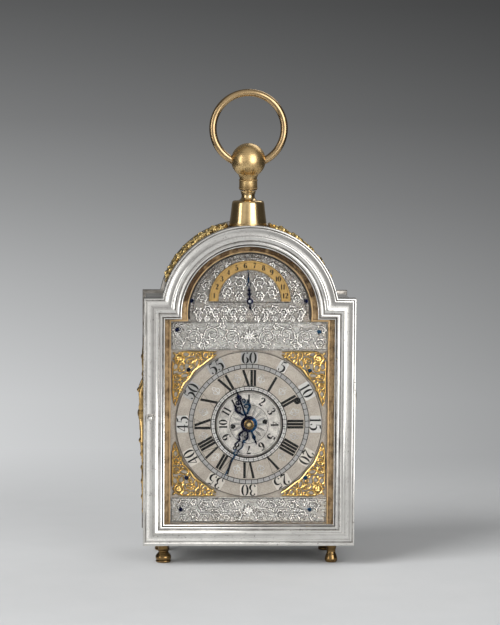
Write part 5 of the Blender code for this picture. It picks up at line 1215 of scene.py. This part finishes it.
def engrave(name, place, foliage, lines, broad=1.6, outline=0.3):
    """Polished leafage inside a cut outline, and plain cut lines."""
    raised, cut = Shape(), Shape()
    raised.bars([[(u, v, width * broad) for u, v, width in stroke] for stroke in foliage], place, FLAT_BAR,
                0.06)
    raised.to_piece(f"{name}_leafage", finish("leafage silver"), "case", slot="silvered_dial")
    cut.bars([[(u, v, width * broad + outline) for u, v, width in stroke] for stroke in foliage], place,
             INLAY, 0.02)
    cut.bars(lines, place, INLAY, 0.04)
    cut.to_piece(f"{name}_engraving", finish("cut silver"), "case", slot="silvered_dial")


def build_bands():
    for name, low, high, tall_scrolls in (("upper", UPPER_LOW, UPPER_HIGH, True),
                                          ("lower", LOWER_LOW, LOWER_HIGH, False)):
        half, tall = (high.x - low.x) / 2, (high.z - low.z) / 2
        place = on_front(low.y, 0, (low.z + high.z) / 2)
        lines = border(half, tall, 0.45)
        if tall_scrolls:
            side = vine((9.2, -0.6), 5.0, 1) + vine((18.6, 0.8), 4.9, -1) + vine((28.0, -0.6), 4.8, 1)
            side += vine((35.6, 3.2), 2.7, -1, False) + vine((35.6, -3.4), 2.8, 1, False)
            side += vine((13.8, 5.0), 1.7, 1, False) + vine((23.4, -4.8), 1.8, -1, False)
            middle = palmette((0, 0.8), 5.6)
        else:
            side = []
            for n in range(6):
                side += vine((5.8 + 5.4 * n, 2.3 if n % 2 else -2.3), 2.9, -1 if n % 2 else 1, False)
                side += vine((5.8 + 5.4 * n, -3.9 if n % 2 else 3.9), 1.6, 1 if n % 2 else -1, False)
            middle = palmette((0, 0.4), 4.2)
            lines += both_sides([[(9.0, -1.2, 0.08), (26.0, -1.2, 0.08)],
                                 [(9.0, 1.2, 0.08), (26.0, 1.2, 0.08)]])
        engrave(f"{name}_band", place, middle + both_sides(side), lines)


def build_arch_plate():
    start, steps = math.asin((ARCH_LOW.z - ARCH_CENTRE) / ARCH_PLATE_RADIUS), 72
    outline = [(ARCH_PLATE_RADIUS * math.cos(start + (math.pi - 2 * start) * i / steps),
                ARCH_CENTRE + ARCH_PLATE_RADIUS * math.sin(start + (math.pi - 2 * start) * i / steps))
               for i in range(steps + 1)]
    shape = Shape()
    shape.grid([[(x, y, z) for x, z in outline] for y in (ARCH_HIGH.y, ARCH_LOW.y)], (0.0,) * (steps + 1))
    shape.to_piece("arch_plate_fine", finish("engraved arch"), "case", ["arch_plate"], "silvered_dial")
    place = on_front(ARCH_LOW.y, 0, ARCH_CENTRE)
    lift = SCALE_CENTRE - ARCH_CENTRE
    edge = ARCH_PLATE_RADIUS - 0.6
    # The first arc is painted shadow: a broad dark band along the plate's edge for the shade that the mask
    # casts on it
    lines = [arc((0, 0), edge + 0.25, -95, 95, 0.4, 60), arc((0, 0), edge - 1.7, -92, 92, 0.1, 60),
             [(-SCALE_RADIUS, lift - 0.5, 0.14), (SCALE_RADIUS, lift - 0.5, 0.14)]]
    for n in range(60):
        lines += at_bearing([[(0, edge - 1.7, 0.08), (0.35, edge, 0.07)]], 0, -88 + 176 * n / 59)
    side = (vine((23.8, 8.2), 2.8, 1, False) + vine((21.4, 14.6), 2.6, -1, False)
            + vine((16.6, 19.8), 2.2, 1, False))
    side += vine((10.8, 24.2), 1.7, -1, False) + vine((4.2, 25.9), 1.4, 1, False)
    side += vine((5.0, 15.8), 3.7, 1) + vine((10.9, 11.0), 3.2, -1) + vine((11.0, 16.2), 1.6, 1, False)
    side += vine((5.0, 9.2), 2.2, -1, False)
    for n in range(6):
        side += vine((3.6 + 4.4 * n, 1.0 if n % 2 else 2.2), 2.2, -1 if n % 2 else 1, False)
        side += vine((3.6 + 4.4 * n, -2.4), 1.5, 1 if n % 2 else -1, False)
    engrave("arch", place, both_sides(side), lines, 1.7)


# Spandrels
def ellipse(centre_u, centre_v, half_u, half_v, turn, width, steps=22):
    sine, cosine = math.sin(math.radians(turn)), math.cos(math.radians(turn))
    out = []
    for i in range(steps):
        a, b = half_u * math.cos(2 * math.pi * i / steps), half_v * math.sin(2 * math.pi * i / steps)
        out.append((centre_u + a * cosine - b * sine, centre_v + a * sine + b * cosine, width))
    return out + [out[0]]


# Openings of a corner mount's net, from its outer corner: (across, up or down, half sizes, turn)
OPENINGS = ((7.0, 1.7, 1.9, 1.25, 0), (9.4, 4.8, 2.1, 1.25, -25), (13.4, 2.3, 1.35, 1.8, -20),
            (12.6, 6.0, 1.1, 2.0, 12), (1.9, 7.8, 1.35, 1.8, 10), (4.9, 8.4, 1.45, 1.8, 0),
            (6.5, 12.3, 2.1, 1.25, -8), (2.5, 13.2, 1.7, 1.7, 0), (2.5, 17.6, 1.5, 1.6, 0),
            (2.1, 21.6, 1.2, 1.7, 5), (1.7, 25.0, 0.7, 1.3, 4), (16.9, 2.0, 1.1, 1.4, 20),
            (19.6, 1.5, 0.9, 0.9, 0), (15.7, 5.2, 0.8, 1.3, -35), (10.2, 1.3, 0.8, 0.8, 0),
            (5.2, 15.2, 1.1, 0.9, 30), (4.4, 19.0, 0.7, 1.1, -20), (9.4, 7.9, 0.9, 0.6, -40),
            (8.6, 10.3, 0.9, 0.7, -50))


def spandrel_strokes():
    """A net of scrolls for one corner, from its outer corner inwards."""
    strokes = [ellipse(u, v, half_u, half_v, turn, 0.32) for u, v, half_u, half_v, turn in OPENINGS]
    strokes += [smooth([(22.4, 1.6, 0.3), (19.0, 3.8, 0.5), (15.9, 6.3, 0.45), (12.2, 8.9, 0.5),
                        (10.8, 10.3, 0.7), (9.2, 12.8, 0.45), (7.0, 15.2, 0.4), (5.6, 17.0, 0.5),
                        (4.1, 20.3, 0.45), (3.0, 23.8, 0.35), (1.8, 27.6, 0.15)], 4)]
    strokes += [smooth([(4.6, 0.5, 0.4), (8.6, 0.3, 0.4), (12.0, 0.5, 0.45), (16.0, 0.3, 0.4),
                        (20.4, 0.5, 0.3), (22.4, 0.3, 0.2)], 3),
                smooth([(0.5, 5.0, 0.4), (0.4, 10.6, 0.4), (0.6, 15.6, 0.45), (0.5, 20.0, 0.4),
                        (0.8, 24.0, 0.3), (1.6, 27.4, 0.15)], 3),
                scroll((9.4, 4.8), 1.3, 0.4, 0, 1.1, 0.35), scroll((2.5, 13.2), 1.1, 0.35, 90, 1.1, 0.35),
                scroll((2.5, 17.6), 1.0, 0.3, 90, 1.1, 0.3), scroll((13.4, 2.3), 0.9, 0.3, 30, 1.0, 0.3)]
    strokes += [leaf((17.6, 3.2), 60, 2.6, 0.45), leaf((20.6, 2.2), 20, 1.9, 0.4),
                leaf((10.8, 6.7), 200, 2.0, 0.4), leaf((3.4, 10.6), 150, 2.4, 0.45),
                leaf((7.2, 9.6), 40, 2.0, 0.4), leaf((4.0, 16.6), 300, 2.0, 0.4)]
    corner = [hoop((3.9, 3.6), 2.3, 0.42, 26), hoop((3.9, 3.6), 0.9, 0.5, 14)]
    corner += fan((3.9, 3.6), 0, 320, 8, 2.3, 0.5)
    corner += [leaf((1.9, 1.9), 225, 2.0, 0.5), leaf((5.4, 5.2), 40, 2.2, 0.6),
               leaf((1.4, 3.8), 270, 1.2, 0.4), leaf((3.8, 1.2), 180, 1.0, 0.4)]
    return strokes + corner


def build_spandrels():
    strokes = spandrel_strokes()
    for up_name, up in (("upper", 1), ("lower", -1)):
        for side_name, side in (("left", -1), ("right", 1)):
            node = f"spandrel_{up_name}_{side_name}"
            low, high = box_mm(node)
            corner = (max(abs(low.x), abs(high.x)), max(abs(low.z - DIAL_CENTRE), abs(high.z - DIAL_CENTRE)))
            place = on_front(high.y, 0, DIAL_CENTRE)
            placed = [[(side * (corner[0] - u), up * (corner[1] - v), width) for u, v, width in stroke]
                      for stroke in strokes]
            mount = Shape()
            mount.bars(placed, place, ORNAMENT, high.y - low.y, 0.0, 0.45)
            mount.to_piece(f"corner_mount_{up_name}_{side_name}", finish("corner gilt"), "case", [node],
                           "gilt", 50)


# Screws, as (across, height above the floor): in the engraved plates and in the corner mounts
PLATE_SCREWS = ((-36.2, 118.6), (34.9, 117.8), (-34.0, 28.0), (30.8, 27.8), (-29.0, 133.2), (28.2, 133.2))
CORNER_SCREWS = ((-30.4, 98.6), (30.4, 98.2), (-31.2, 44.0), (28.4, 44.2))


def build_screws():
    """Blued screw heads, each with its slot turned its own way."""
    heads = Shape()
    for x, z in PLATE_SCREWS:
        heads.screw(on_front(UPPER_LOW.y), x, z, 1.05, 0.45, 0.5 + 0.13 * x)
    for x, z in CORNER_SCREWS:
        heads.screw(on_front(RING_LOW.y + 0.2), x, z, 1.0, 0.5, 0.9 + 0.21 * z)
    heads.to_piece("dial_screws", finish("blued steel"), "case", slot="blued_steel", sharp=30)


# Hands
HUB_GROOVES = (0.5, 0.5, 0.3, 0.0, 0.0, 0.5)


def build_hands(dial):
    """The hour hand with its tail, the minute hand and the collet that holds them."""
    place = on_front(HOUR_HIGH.y, 0, DIAL_CENTRE)
    hour = Shape()
    half = [scroll((1.9, 8.9), 1.7, 0.5, 190, -1.2, 0.42), scroll((1.5, 12.2), 1.2, 0.35, 200, -1.2, 0.34),
            smooth([(0.9, 5.0, 0.5), (1.9, 6.4, 0.5), (3.4, 7.6, 0.45), (3.9, 9.4, 0.4), (2.9, 10.8, 0.35)],
                   4),
            leaf((2.6, 10.4), 60, 2.2, 0.4, -60),
            smooth([(0.6, 13.2, 0.35), (1.0, 14.4, 0.35), (0.3, 15.6, 0.3)], 4)]
    strokes = both_sides(half) + [smooth([(0, 3.5, 0.7), (0, 8.0, 0.45), (0, 13.0, 0.5), (0, 15.5, 0.4),
                                          (0, 19.7, 0.07)], 3),
                                  smooth([(0, -3.4, 0.6), (0, -5.6, 0.4), (0, -7.0, 1.0), (0, -8.4, 0.4),
                                          (0, -9.6, 0.5), (0, -11.0, 0.08)], 3),
                                  leaf((0, -6.2), 140, 1.8, 0.35, 40), leaf((0, -6.2), 220, 1.8, 0.35, -40)]
    hour.bars(at_bearing(strokes, 0, in_degrees(dial.hour_bearing)), place, FLAT_BAR,
              HOUR_HIGH.y - HOUR_LOW.y, 0.0, 0.4)
    hour.lathe([(2.9, 0), (4.1, 0), (4.2, 0.15), (4.1, 0.42), (3.7, 0.55), (2.9, 0.55)], place, 48,
               HUB_GROOVES)
    hour.to_piece("hour_hand_fine", finish("blued steel"), "hour", ["hour_hand"], "blued_steel", 35)
    place = on_front(MINUTE_HIGH.y, 0, DIAL_CENTRE)
    minute = Shape()
    half = [smooth([(0.4, 3.4, 0.5), (1.4, 4.6, 0.45), (2.2, 6.2, 0.45), (1.9, 7.8, 0.4), (0.6, 8.9, 0.45)],
                   4),
            scroll((1.1, 6.3), 1.0, 0.3, 180, -1.1, 0.3),
            smooth([(0.5, 9.2, 0.4), (1.5, 10.4, 0.38), (1.7, 12.0, 0.35), (1.1, 13.4, 0.3),
                    (0.3, 14.6, 0.35)], 4),
            leaf((0.6, 9.0), 75, 1.9, 0.34, 40), leaf((0.5, 14.4), 60, 1.5, 0.28, 40),
            smooth([(0.3, 15.0, 0.3), (0.9, 16.0, 0.3), (0.3, 17.2, 0.3)], 3)]
    strokes = both_sides(half) + [smooth([(0, 16.8, 0.42), (0, 18.5, 0.40), (0, 26.0, 0.30),
                                          (0, 30.8, 0.07)], 4)]
    minute.bars(at_bearing(strokes, 0, in_degrees(dial.minute_bearing)), place, FLAT_BAR,
                MINUTE_HIGH.y - MINUTE_LOW.y, 0.0, 0.35)
    minute.lathe([(1.9, 0), (3.1, 0), (3.2, 0.15), (3.1, 0.42), (2.8, 0.55), (1.9, 0.55)], place, 48,
                 HUB_GROOVES)
    minute.to_piece("minute_hand_fine", finish("blued steel"), "minute", ["minute_hand"], "blued_steel", 35)
    collet = Shape()
    rise = COLLET_HIGH.y - COLLET_LOW.y
    collet.lathe([(1.3, 0), (2.5, 0), (2.6, 0.1), (2.5, rise * 0.6), (2.1, rise), (1.7, rise * 0.9),
                  (1.3, rise * 0.8)], on_front(COLLET_HIGH.y, 0, DIAL_CENTRE), 40,
                 (0.6, 0.6, 0.4, 0.0, 0.0, 0.7, 0.9))
    collet.to_piece("collet", finish("foot brass"), "minute", ["hand_collet"], "brass", 35)


def build_pointer(dial):
    """The little hand of the half ring, its arbor and the pin through it."""
    thick = 0.55
    place = on_front(SCALE_LOW.y - 0.3, 0, SCALE_CENTRE)
    pointer = Shape()
    half = [leaf((0, 3.0), 70, 1.9, 0.42, -90), leaf((0, 5.4), 60, 1.5, 0.34, 50),
            smooth([(0.2, 7.4, 0.3), (0.9, 8.4, 0.3), (0.2, 9.6, 0.3)], 3),
            leaf((0, 4.0), 120, 1.2, 0.3, 40)]
    strokes = both_sides(half) + [smooth([(0, 1.2, 0.5), (0, 3.4, 0.4), (0, 5.2, 0.55), (0, 7.2, 0.35)], 3),
                                  smooth([(0, 9.4, 0.5), (0, 11.4, 0.5), (0, 14.2, 0.22), (0, 16.8, 0.06)],
                                         3),
                                  smooth([(0, -1.2, 0.5), (0, -2.2, 0.3), (0, -3.3, 0.7), (0, -4.4, 0.1)],
                                         3)]
    pointer.bars(at_bearing(strokes, 0, in_degrees(dial.pointer_bearing)), place, FLAT_BAR, thick, 0.0, 0.35)
    pointer.lathe([(0, 0), (1.6, 0), (1.6, 0.4), (1.3, 0.55), (0, 0.55)], place, 30)
    depth = POINTER_BACK - SCALE_LOW.y
    pointer.lathe([(0, -depth), (1.0, -depth), (1.0, 0.1), (0, 0.1)], place, 20)
    pointer.to_piece("pointer", finish("blued steel"), "arch_pointer", ["arch_hand"], "blued_steel", 35)
    pin = Shape()
    pin.lathe([(0, 0.4), (0.75, 0.4), (0.75, 0.7), (0.55, 0.85), (0, 0.85)], place, 20)
    pin.to_piece("pointer_pin", finish("bright steel"), "arch_pointer", slot="steel")


# Stage
EYE = (-0.0672, -1.3913, 0.2392)
AIM = (0.0, 0.0, 0.1)
# Painted light falloff on the paper behind the clock: its glowing grey by the rise of a sight line for each
# metre it runs level, brightest low down
RISES = ((-0.170, 0.56), (-0.150, 0.575), (-0.1315, 0.610), (-0.1133, 0.584), (-0.0915, 0.503),
         (-0.0697, 0.418), (-0.0406, 0.296), (-0.0115, 0.191), (0.0102, 0.141), (0.0301, 0.102),
         (0.045, 0.085))
# Where the lit paper in front passes into that grey, in metres behind the clock's middle
PAPER_FADE = (0.08, 0.42)
# Reflections see the paper only as far as this from the middle, and past that the room
PAPER_IN_MIRRORS = 0.40
FLOOR_RADIUS = 60.0

LAMP_DISTANCE = 2.2
# Soft boxes: bearing, rise, size, level, whether reflections see it and whether it lights the paper
LAMPS = (("key", -51, 32, (1.3, 1.4), 10.0, False, True),
         ("left_card", -57, 10, (0.55, 1.8), 2.6, True, False),
         ("right_box", 31, 16, (1.3, 2.0), 2.7, True, True),
         ("back_box", 148, 44, (1.5, 0.8), 1.6, True, True))
# Pale parts of the room: axis, outer and inner half angle, level
GLOWS = (((0.0, -1.0, -0.08), 52, 14, 0.30), ((0.48, -0.87, 0.05), 37, 10, 0.62),
         ((0.05, -0.6, 0.8), 52, 16, 0.42), ((-0.7, -0.7, 0.15), 34, 10, 0.40),
         ((0.0, 1.0, 0.3), 60, 20, 0.06))


def backdrop_group():
    """Painted light on the sweep behind the clock: a glowing grey from the rise and the bearing of a sight
    line from the eye.
    """
    group, given, end = new_group("backdrop", [("Sight", (0.0, 1.0, 0.0))], ["Color"])
    parts = add(group, "ShaderNodeSeparateXYZ", {0: given["Sight"]}).outputs
    squares = [maths(group, "POWER", parts[axis], 2.0) for axis in ("X", "Y")]
    level = maths(group, "POWER", maths(group, "ADD", *squares), 0.5)
    rise = maths(group, "DIVIDE", parts["Z"], level)
    aside = maths(group, "DIVIDE", parts["X"], level)
    low, high = RISES[0][0], RISES[-1][0]
    ramp = add(group, "ShaderNodeValToRGB", {"Fac": spread(group, rise, low, high)})
    for n, (where, grey) in enumerate(RISES):
        share = (where - low) / (high - low)
        stop = ramp.color_ramp.elements[n] if n < 2 else ramp.color_ramp.elements.new(share)
        stop.position, stop.color = share, (grey * 0.985, grey, grey * 1.01, 1)
    # Painted shade: it darkens to the right, away from the key lamp on the left
    painted_shade_to_right = spread(group, aside, -0.05, 0.14, 1.05, 0.60)
    colour = add(group, "ShaderNodeVectorMath", {0: ramp.outputs["Color"], "Scale": painted_shade_to_right}, operation="SCALE")
    feed(group, end, {"Color": colour.outputs["Vector"]})


def paper():
    """Pale paper that fades behind the clock into the backdrop's glowing grey, a painted light falloff."""
    made, tree, shader = new_material("paper")
    place = over_piece(tree)
    sight = add(tree, "ShaderNodeVectorMath", {0: place, 1: EYE}, operation="SUBTRACT").outputs["Vector"]
    fibres = clouds(tree, place, 40.0, 6.0)
    feed(tree, shader, {"Base Color": blend(tree, fibres, (0.56, 0.57, 0.573, 1), (0.60, 0.605, 0.61, 1)),
                        "Roughness": 0.8, "Specular IOR Level": 0.03})
    glow = add(tree, "ShaderNodeEmission", {"Color": use_group(tree, "backdrop", {"Sight": sight})["Color"]})
    depth = add(tree, "ShaderNodeSeparateXYZ", {0: place}).outputs["Y"]
    far = spread(tree, depth, *PAPER_FADE, eased=True)
    mix = add(tree, "ShaderNodeMixShader", {0: far, 1: shader.outputs[0], 2: glow.outputs[0]})
    reach = add(tree, "ShaderNodeVectorMath", {0: place}, operation="LENGTH").outputs["Value"]
    past = maths(tree, "GREATER_THAN", reach, PAPER_IN_MIRRORS)
    gone = maths(tree, "MULTIPLY", past, add(tree, "ShaderNodeLightPath").outputs["Is Glossy Ray"])
    clear = add(tree, "ShaderNodeBsdfTransparent")
    mix = add(tree, "ShaderNodeMixShader", {0: gone, 1: mix.outputs[0], 2: clear.outputs[0]})
    feed(tree, tree.nodes["Material Output"], {"Surface": mix.outputs[0]})
    return made


def build_floor():
    backdrop_group()
    mesh = bpy.data.meshes.new("floor")
    sides = 64
    mesh.from_pydata([(FLOOR_RADIUS * math.cos(2 * math.pi * i / sides),
                       FLOOR_RADIUS * math.sin(2 * math.pi * i / sides), 0.0) for i in range(sides)], [],
                     [tuple(range(sides))])
    mesh.materials.append(paper())
    sheet = bpy.data.objects.new("floor", mesh)
    bpy.context.scene.collection.objects.link(sheet)


def build_room():
    """A grey room with a few pale parts, which the camera sees only as the backdrop."""
    world = bpy.data.worlds.new("studio")
    bpy.context.scene.world = world
    world.use_nodes = True
    tree = world.node_tree
    place = add(tree, "ShaderNodeTexCoord").outputs["Generated"]
    height = add(tree, "ShaderNodeSeparateXYZ", {0: place}).outputs["Z"]
    room = spread(tree, height, -0.2, 1.0, 0.04, 0.12)
    for axis, wide, narrow, level in GLOWS:
        near = add(tree, "ShaderNodeVectorMath", {0: place, 1: Vector(axis).normalized()},
                   operation="DOT_PRODUCT")
        glow = spread(tree, near.outputs["Value"], math.cos(math.radians(wide)),
                      math.cos(math.radians(narrow)), 0.0, level, eased=True)
        room = maths(tree, "ADD", room, glow)
    # The paper is lit by the upper part of the room alone
    ray = add(tree, "ShaderNodeLightPath").outputs
    dome = spread(tree, height, 0.1, 0.9, 0.0, 0.36)
    room = add(tree, "ShaderNodeMix", {"Factor": ray["Is Diffuse Ray"], "A": room,
                                       "B": dome}).outputs["Result"]
    room = add(tree, "ShaderNodeCombineColor", {0: room, 1: room, 2: room}).outputs["Color"]
    # The camera and the glass see the backdrop's painted light falloff, not the room
    seen = maths(tree, "MAXIMUM", ray["Is Camera Ray"], ray["Is Transmission Ray"])
    colour = blend(tree, seen, room, use_group(tree, "backdrop", {"Sight": place})["Color"])
    feed(tree, tree.nodes["Background"], {"Color": colour, "Strength": 1.0})


def build_lamps(brightness):
    """Soft boxes that point at the clock's middle. Level is the brightness of a box's face."""
    for name, bearing, rise, size, level, in_mirrors, on_paper in LAMPS:
        bearing, rise = math.radians(bearing), math.radians(rise)
        flat = LAMP_DISTANCE * math.cos(rise)
        light = bpy.data.lights.new(name, "AREA")
        light.shape, light.size, light.size_y = "RECTANGLE", size[0], size[1]
        light.energy = brightness * level * math.pi * size[0] * size[1]
        made = bpy.data.objects.new(name, light)
        made.location = (flat * math.sin(bearing), -flat * math.cos(bearing), LAMP_DISTANCE * math.sin(rise))
        made.rotation_euler = (Vector(AIM) - made.location).to_track_quat("-Z", "Y").to_euler()
        made.visible_camera, made.visible_glossy, made.visible_diffuse = False, in_mirrors, on_paper
        bpy.context.scene.collection.objects.link(made)


FILM_HEIGHT = 36.0


def build_camera(view):
    camera = bpy.data.cameras.new("camera")
    camera.sensor_fit = "VERTICAL"
    camera.sensor_height = FILM_HEIGHT
    camera.lens = view.lens
    camera.clip_start, camera.clip_end = 0.05, 200.0
    made = bpy.data.objects.new("camera", camera)
    made.location = view.place
    yaw, pitch, roll = view.yaw, view.pitch, view.roll
    ahead = Vector((math.sin(yaw) * math.cos(pitch), math.cos(yaw) * math.cos(pitch), math.sin(pitch)))
    right = ahead.cross(Vector((0, 0, 1))).normalized()
    up = right.cross(ahead)
    across = right * math.cos(roll) + up * math.sin(roll)
    above = up * math.cos(roll) - right * math.sin(roll)
    made.rotation_euler = Matrix((across, above, -ahead)).transposed().to_euler()
    scene = bpy.context.scene
    scene.collection.objects.link(made)
    scene.camera = made
    scene.view_settings.view_transform = "Standard"


# Properties, operators and panel
def colour_setting(name, description, default):
    return bpy.props.FloatVectorProperty(name=name, description=description, subtype="COLOR", size=3, min=0.0,
                                         max=1.0, default=default)


def angle_setting(name, description, degrees):
    return bpy.props.FloatProperty(name=name, description=description, subtype="ANGLE",
                                   default=math.radians(degrees))


def length_setting(name, description, millimetres):
    return bpy.props.FloatProperty(name=name, description=description, unit="LENGTH", precision=5,
                                   default=millimetres * MM)


class ClockColours(bpy.types.PropertyGroup):
    """Colours of the clock's finishes"""
    silver: colour_setting("Silver", "Polished silver of the front door and the knobs", (0.86, 0.84, 0.80))
    plain_silver: colour_setting("Plain silver", "Silver of the case", (0.80, 0.785, 0.76))
    silvering: colour_setting("Silvering", "Frosted ground of the chapter ring", (0.55, 0.485, 0.415))
    engraving: colour_setting("Engraving", "Engraved bands over and under the dial", (0.97, 0.94, 0.89))
    gilding: colour_setting("Gilding", "Gilt mounts of the corners and the arch", (1.0, 0.73, 0.30))
    brass: colour_setting("Brass", "The ball of the pendant", (0.84, 0.60, 0.29))
    movement: colour_setting("Movement", "Plates and wheels", (0.80, 0.60, 0.30))
    bell: colour_setting("Bell", "The bell's bronze", (0.74, 0.63, 0.44))
    steel: colour_setting("Steel", "Pins, arbors and the hammer", (0.60, 0.60, 0.61))
    deep_blue: colour_setting("Deep blue", "Blued steel where it was heated most", (0.006, 0.009, 0.040))
    light_blue: colour_setting("Light blue", "Blued steel where it turns green", (0.006, 0.06, 0.13))


class ClockDial(bpy.types.PropertyGroup):
    """How the hands stand at rest and how tall the numerals are"""
    hour_bearing: angle_setting("Hour hand", "Bearing from 12 o'clock, clockwise", 339.2)
    minute_bearing: angle_setting("Minute hand", "Bearing from 12 o'clock, clockwise", 204.8)
    pointer_bearing: angle_setting("Arch pointer", "Bearing from the middle of the half ring, clockwise",
                                   -3.8)
    hour_numerals: length_setting("Hour numerals", "Height of the Roman numerals", 8.0)
    minute_numerals: length_setting("Minute numerals", "Height of the outer numerals", 5.6)
    alarm_numerals: length_setting("Alarm numerals", "Height of the alarm disc's numerals", 4.0)


class ClockStage(bpy.types.PropertyGroup):
    """Where the camera stands, how it points and how bright the lamps are"""
    place: bpy.props.FloatVectorProperty(name="Place", description="Camera's place", size=3, unit="LENGTH",
                                         default=EYE)
    yaw: angle_setting("Yaw", "Turn to the right", 2.82)
    pitch: angle_setting("Pitch", "Tilt up", -4.67)
    roll: angle_setting("Roll", "Turn about the line of sight", 0.39)
    lens: bpy.props.FloatProperty(name="Lens", description="Focal length for a 36 mm tall film",
                                  default=158.2)
    lamps: bpy.props.FloatProperty(name="Lamps", description="Brightness of all the lamps", subtype="FACTOR",
                                   min=0.0, default=1.0)


SETTINGS = {"clock_colours": ClockColours, "clock_dial": ClockDial, "clock_stage": ClockStage}


def in_millimetres(size):
    """A property's length in millimetres, clear of the last digits that a property rounds."""
    return round(size / MM, 3)


def in_degrees(size):
    return round(math.degrees(size), 3)


class CLOCK_OT_materials(bpy.types.Operator):
    """Silver, gilding, brass, blued steel, wax and glass, and the CAD nodes that wear them"""
    bl_idname = "clock.materials"
    bl_label = "Materials"

    def execute(self, context):
        make_materials(context.scene.clock_colours)
        finish_cad_nodes()
        return {"FINISHED"}


class CLOCK_OT_case(bpy.types.Operator):
    """The sheet over the case's arch, and the bell"""
    bl_idname = "clock.case"
    bl_label = "Case and bell"

    def execute(self, context):
        build_arch_sheet()
        build_bell()
        return {"FINISHED"}


class CLOCK_OT_doors(bpy.types.Operator):
    """Moulded frames and ball knobs of both doors"""
    bl_idname = "clock.doors"
    bl_label = "Doors"

    def execute(self, context):
        build_doors()
        return {"FINISHED"}


class CLOCK_OT_pendant(bpy.types.Operator):
    """The cone on the arch and the ball that turns on it"""
    bl_idname = "clock.pendant"
    bl_label = "Pendant"

    def execute(self, context):
        build_cone()
        build_ball()
        return {"FINISHED"}


class CLOCK_OT_ring(bpy.types.Operator):
    """The carrying ring"""
    bl_idname = "clock.ring"
    bl_label = "Ring"

    def execute(self, context):
        build_ring()
        return {"FINISHED"}


class CLOCK_OT_feet(bpy.types.Operator):
    """Four turned feet"""
    bl_idname = "clock.feet"
    bl_label = "Feet"

    def execute(self, context):
        build_feet()
        return {"FINISHED"}


class CLOCK_OT_mounts(bpy.types.Operator):
    """Gilt scrollwork on the sides and on the arch"""
    bl_idname = "clock.mounts"
    bl_label = "Gilt mounts"

    def execute(self, context):
        build_side_mounts()
        build_arch_mounts()
        return {"FINISHED"}


class CLOCK_OT_mask(bpy.types.Operator):
    """The gilt frame round the dial"""
    bl_idname = "clock.mask"
    bl_label = "Mask"

    def execute(self, context):
        build_mask()
        return {"FINISHED"}


class CLOCK_OT_engraving(bpy.types.Operator):
    """The engraved plate in the arch and the bands over and under the dial"""
    bl_idname = "clock.engraving"
    bl_label = "Engraved plates"

    def execute(self, context):
        build_arch_plate()
        build_bands()
        return {"FINISHED"}


class CLOCK_OT_chapter_ring(bpy.types.Operator):
    """The chapter ring with its numerals"""
    bl_idname = "clock.chapter_ring"
    bl_label = "Chapter ring"

    def execute(self, context):
        build_chapter_ring(context.scene.clock_dial)
        return {"FINISHED"}


class CLOCK_OT_alarm_disc(bpy.types.Operator):
    """The alarm disc with its numerals"""
    bl_idname = "clock.alarm_disc"
    bl_label = "Alarm disc"

    def execute(self, context):
        build_alarm_disc(context.scene.clock_dial)
        return {"FINISHED"}


class CLOCK_OT_scale(bpy.types.Operator):
    """The half ring in the arch with its numerals"""
    bl_idname = "clock.scale"
    bl_label = "Half ring"

    def execute(self, context):
        build_scale()
        return {"FINISHED"}


class CLOCK_OT_spandrels(bpy.types.Operator):
    """Pierced mounts of the dial's corners"""
    bl_idname = "clock.spandrels"
    bl_label = "Corner mounts"

    def execute(self, context):
        build_spandrels()
        return {"FINISHED"}


class CLOCK_OT_screws(bpy.types.Operator):
    """Blued screws of the dial's plates and mounts"""
    bl_idname = "clock.screws"
    bl_label = "Screws"

    def execute(self, context):
        build_screws()
        return {"FINISHED"}


class CLOCK_OT_hands(bpy.types.Operator):
    """Blued hands, their collet and the arch pointer"""
    bl_idname = "clock.hands"
    bl_label = "Hands"

    def execute(self, context):
        build_hands(context.scene.clock_dial)
        build_pointer(context.scene.clock_dial)
        return {"FINISHED"}


class CLOCK_OT_stage(bpy.types.Operator):
    """Floor, room, lamps and camera"""
    bl_idname = "clock.stage"
    bl_label = "Stage"

    def execute(self, context):
        build_floor()
        build_room()
        build_lamps(context.scene.clock_stage.lamps)
        build_camera(context.scene.clock_stage)
        return {"FINISHED"}


OPERATORS = (CLOCK_OT_materials, CLOCK_OT_case, CLOCK_OT_doors, CLOCK_OT_pendant, CLOCK_OT_ring,
             CLOCK_OT_feet, CLOCK_OT_mounts, CLOCK_OT_mask, CLOCK_OT_engraving, CLOCK_OT_chapter_ring,
             CLOCK_OT_alarm_disc, CLOCK_OT_scale, CLOCK_OT_spandrels, CLOCK_OT_screws, CLOCK_OT_hands,
             CLOCK_OT_stage)


class CLOCK_PT_panel(bpy.types.Panel):
    """Lists the clock's pieces and its settings"""
    bl_idname = "CLOCK_PT_panel"
    bl_label = "Travelling clock"
    bl_space_type = "VIEW_3D"
    bl_region_type = "UI"
    bl_category = "Clock"

    def draw(self, context):
        for operator in OPERATORS:
            self.layout.operator(operator.bl_idname)
        for group, kind in SETTINGS.items():
            for name in kind.__annotations__:
                self.layout.prop(getattr(context.scene, group), name)


CLASSES = (*SETTINGS.values(), *OPERATORS, CLOCK_PT_panel)


def register():
    for item in CLASSES:
        bpy.utils.register_class(item)
    for group, kind in SETTINGS.items():
        setattr(bpy.types.Scene, group, bpy.props.PointerProperty(type=kind))


def unregister():
    for group in SETTINGS:
        delattr(bpy.types.Scene, group)
    for item in reversed(CLASSES):
        bpy.utils.unregister_class(item)


def main():
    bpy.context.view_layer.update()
    register()
    for operator in OPERATORS:
        group, name = operator.bl_idname.split(".")
        getattr(getattr(bpy.ops, group), name)()


if __name__ == "__main__":
    main()
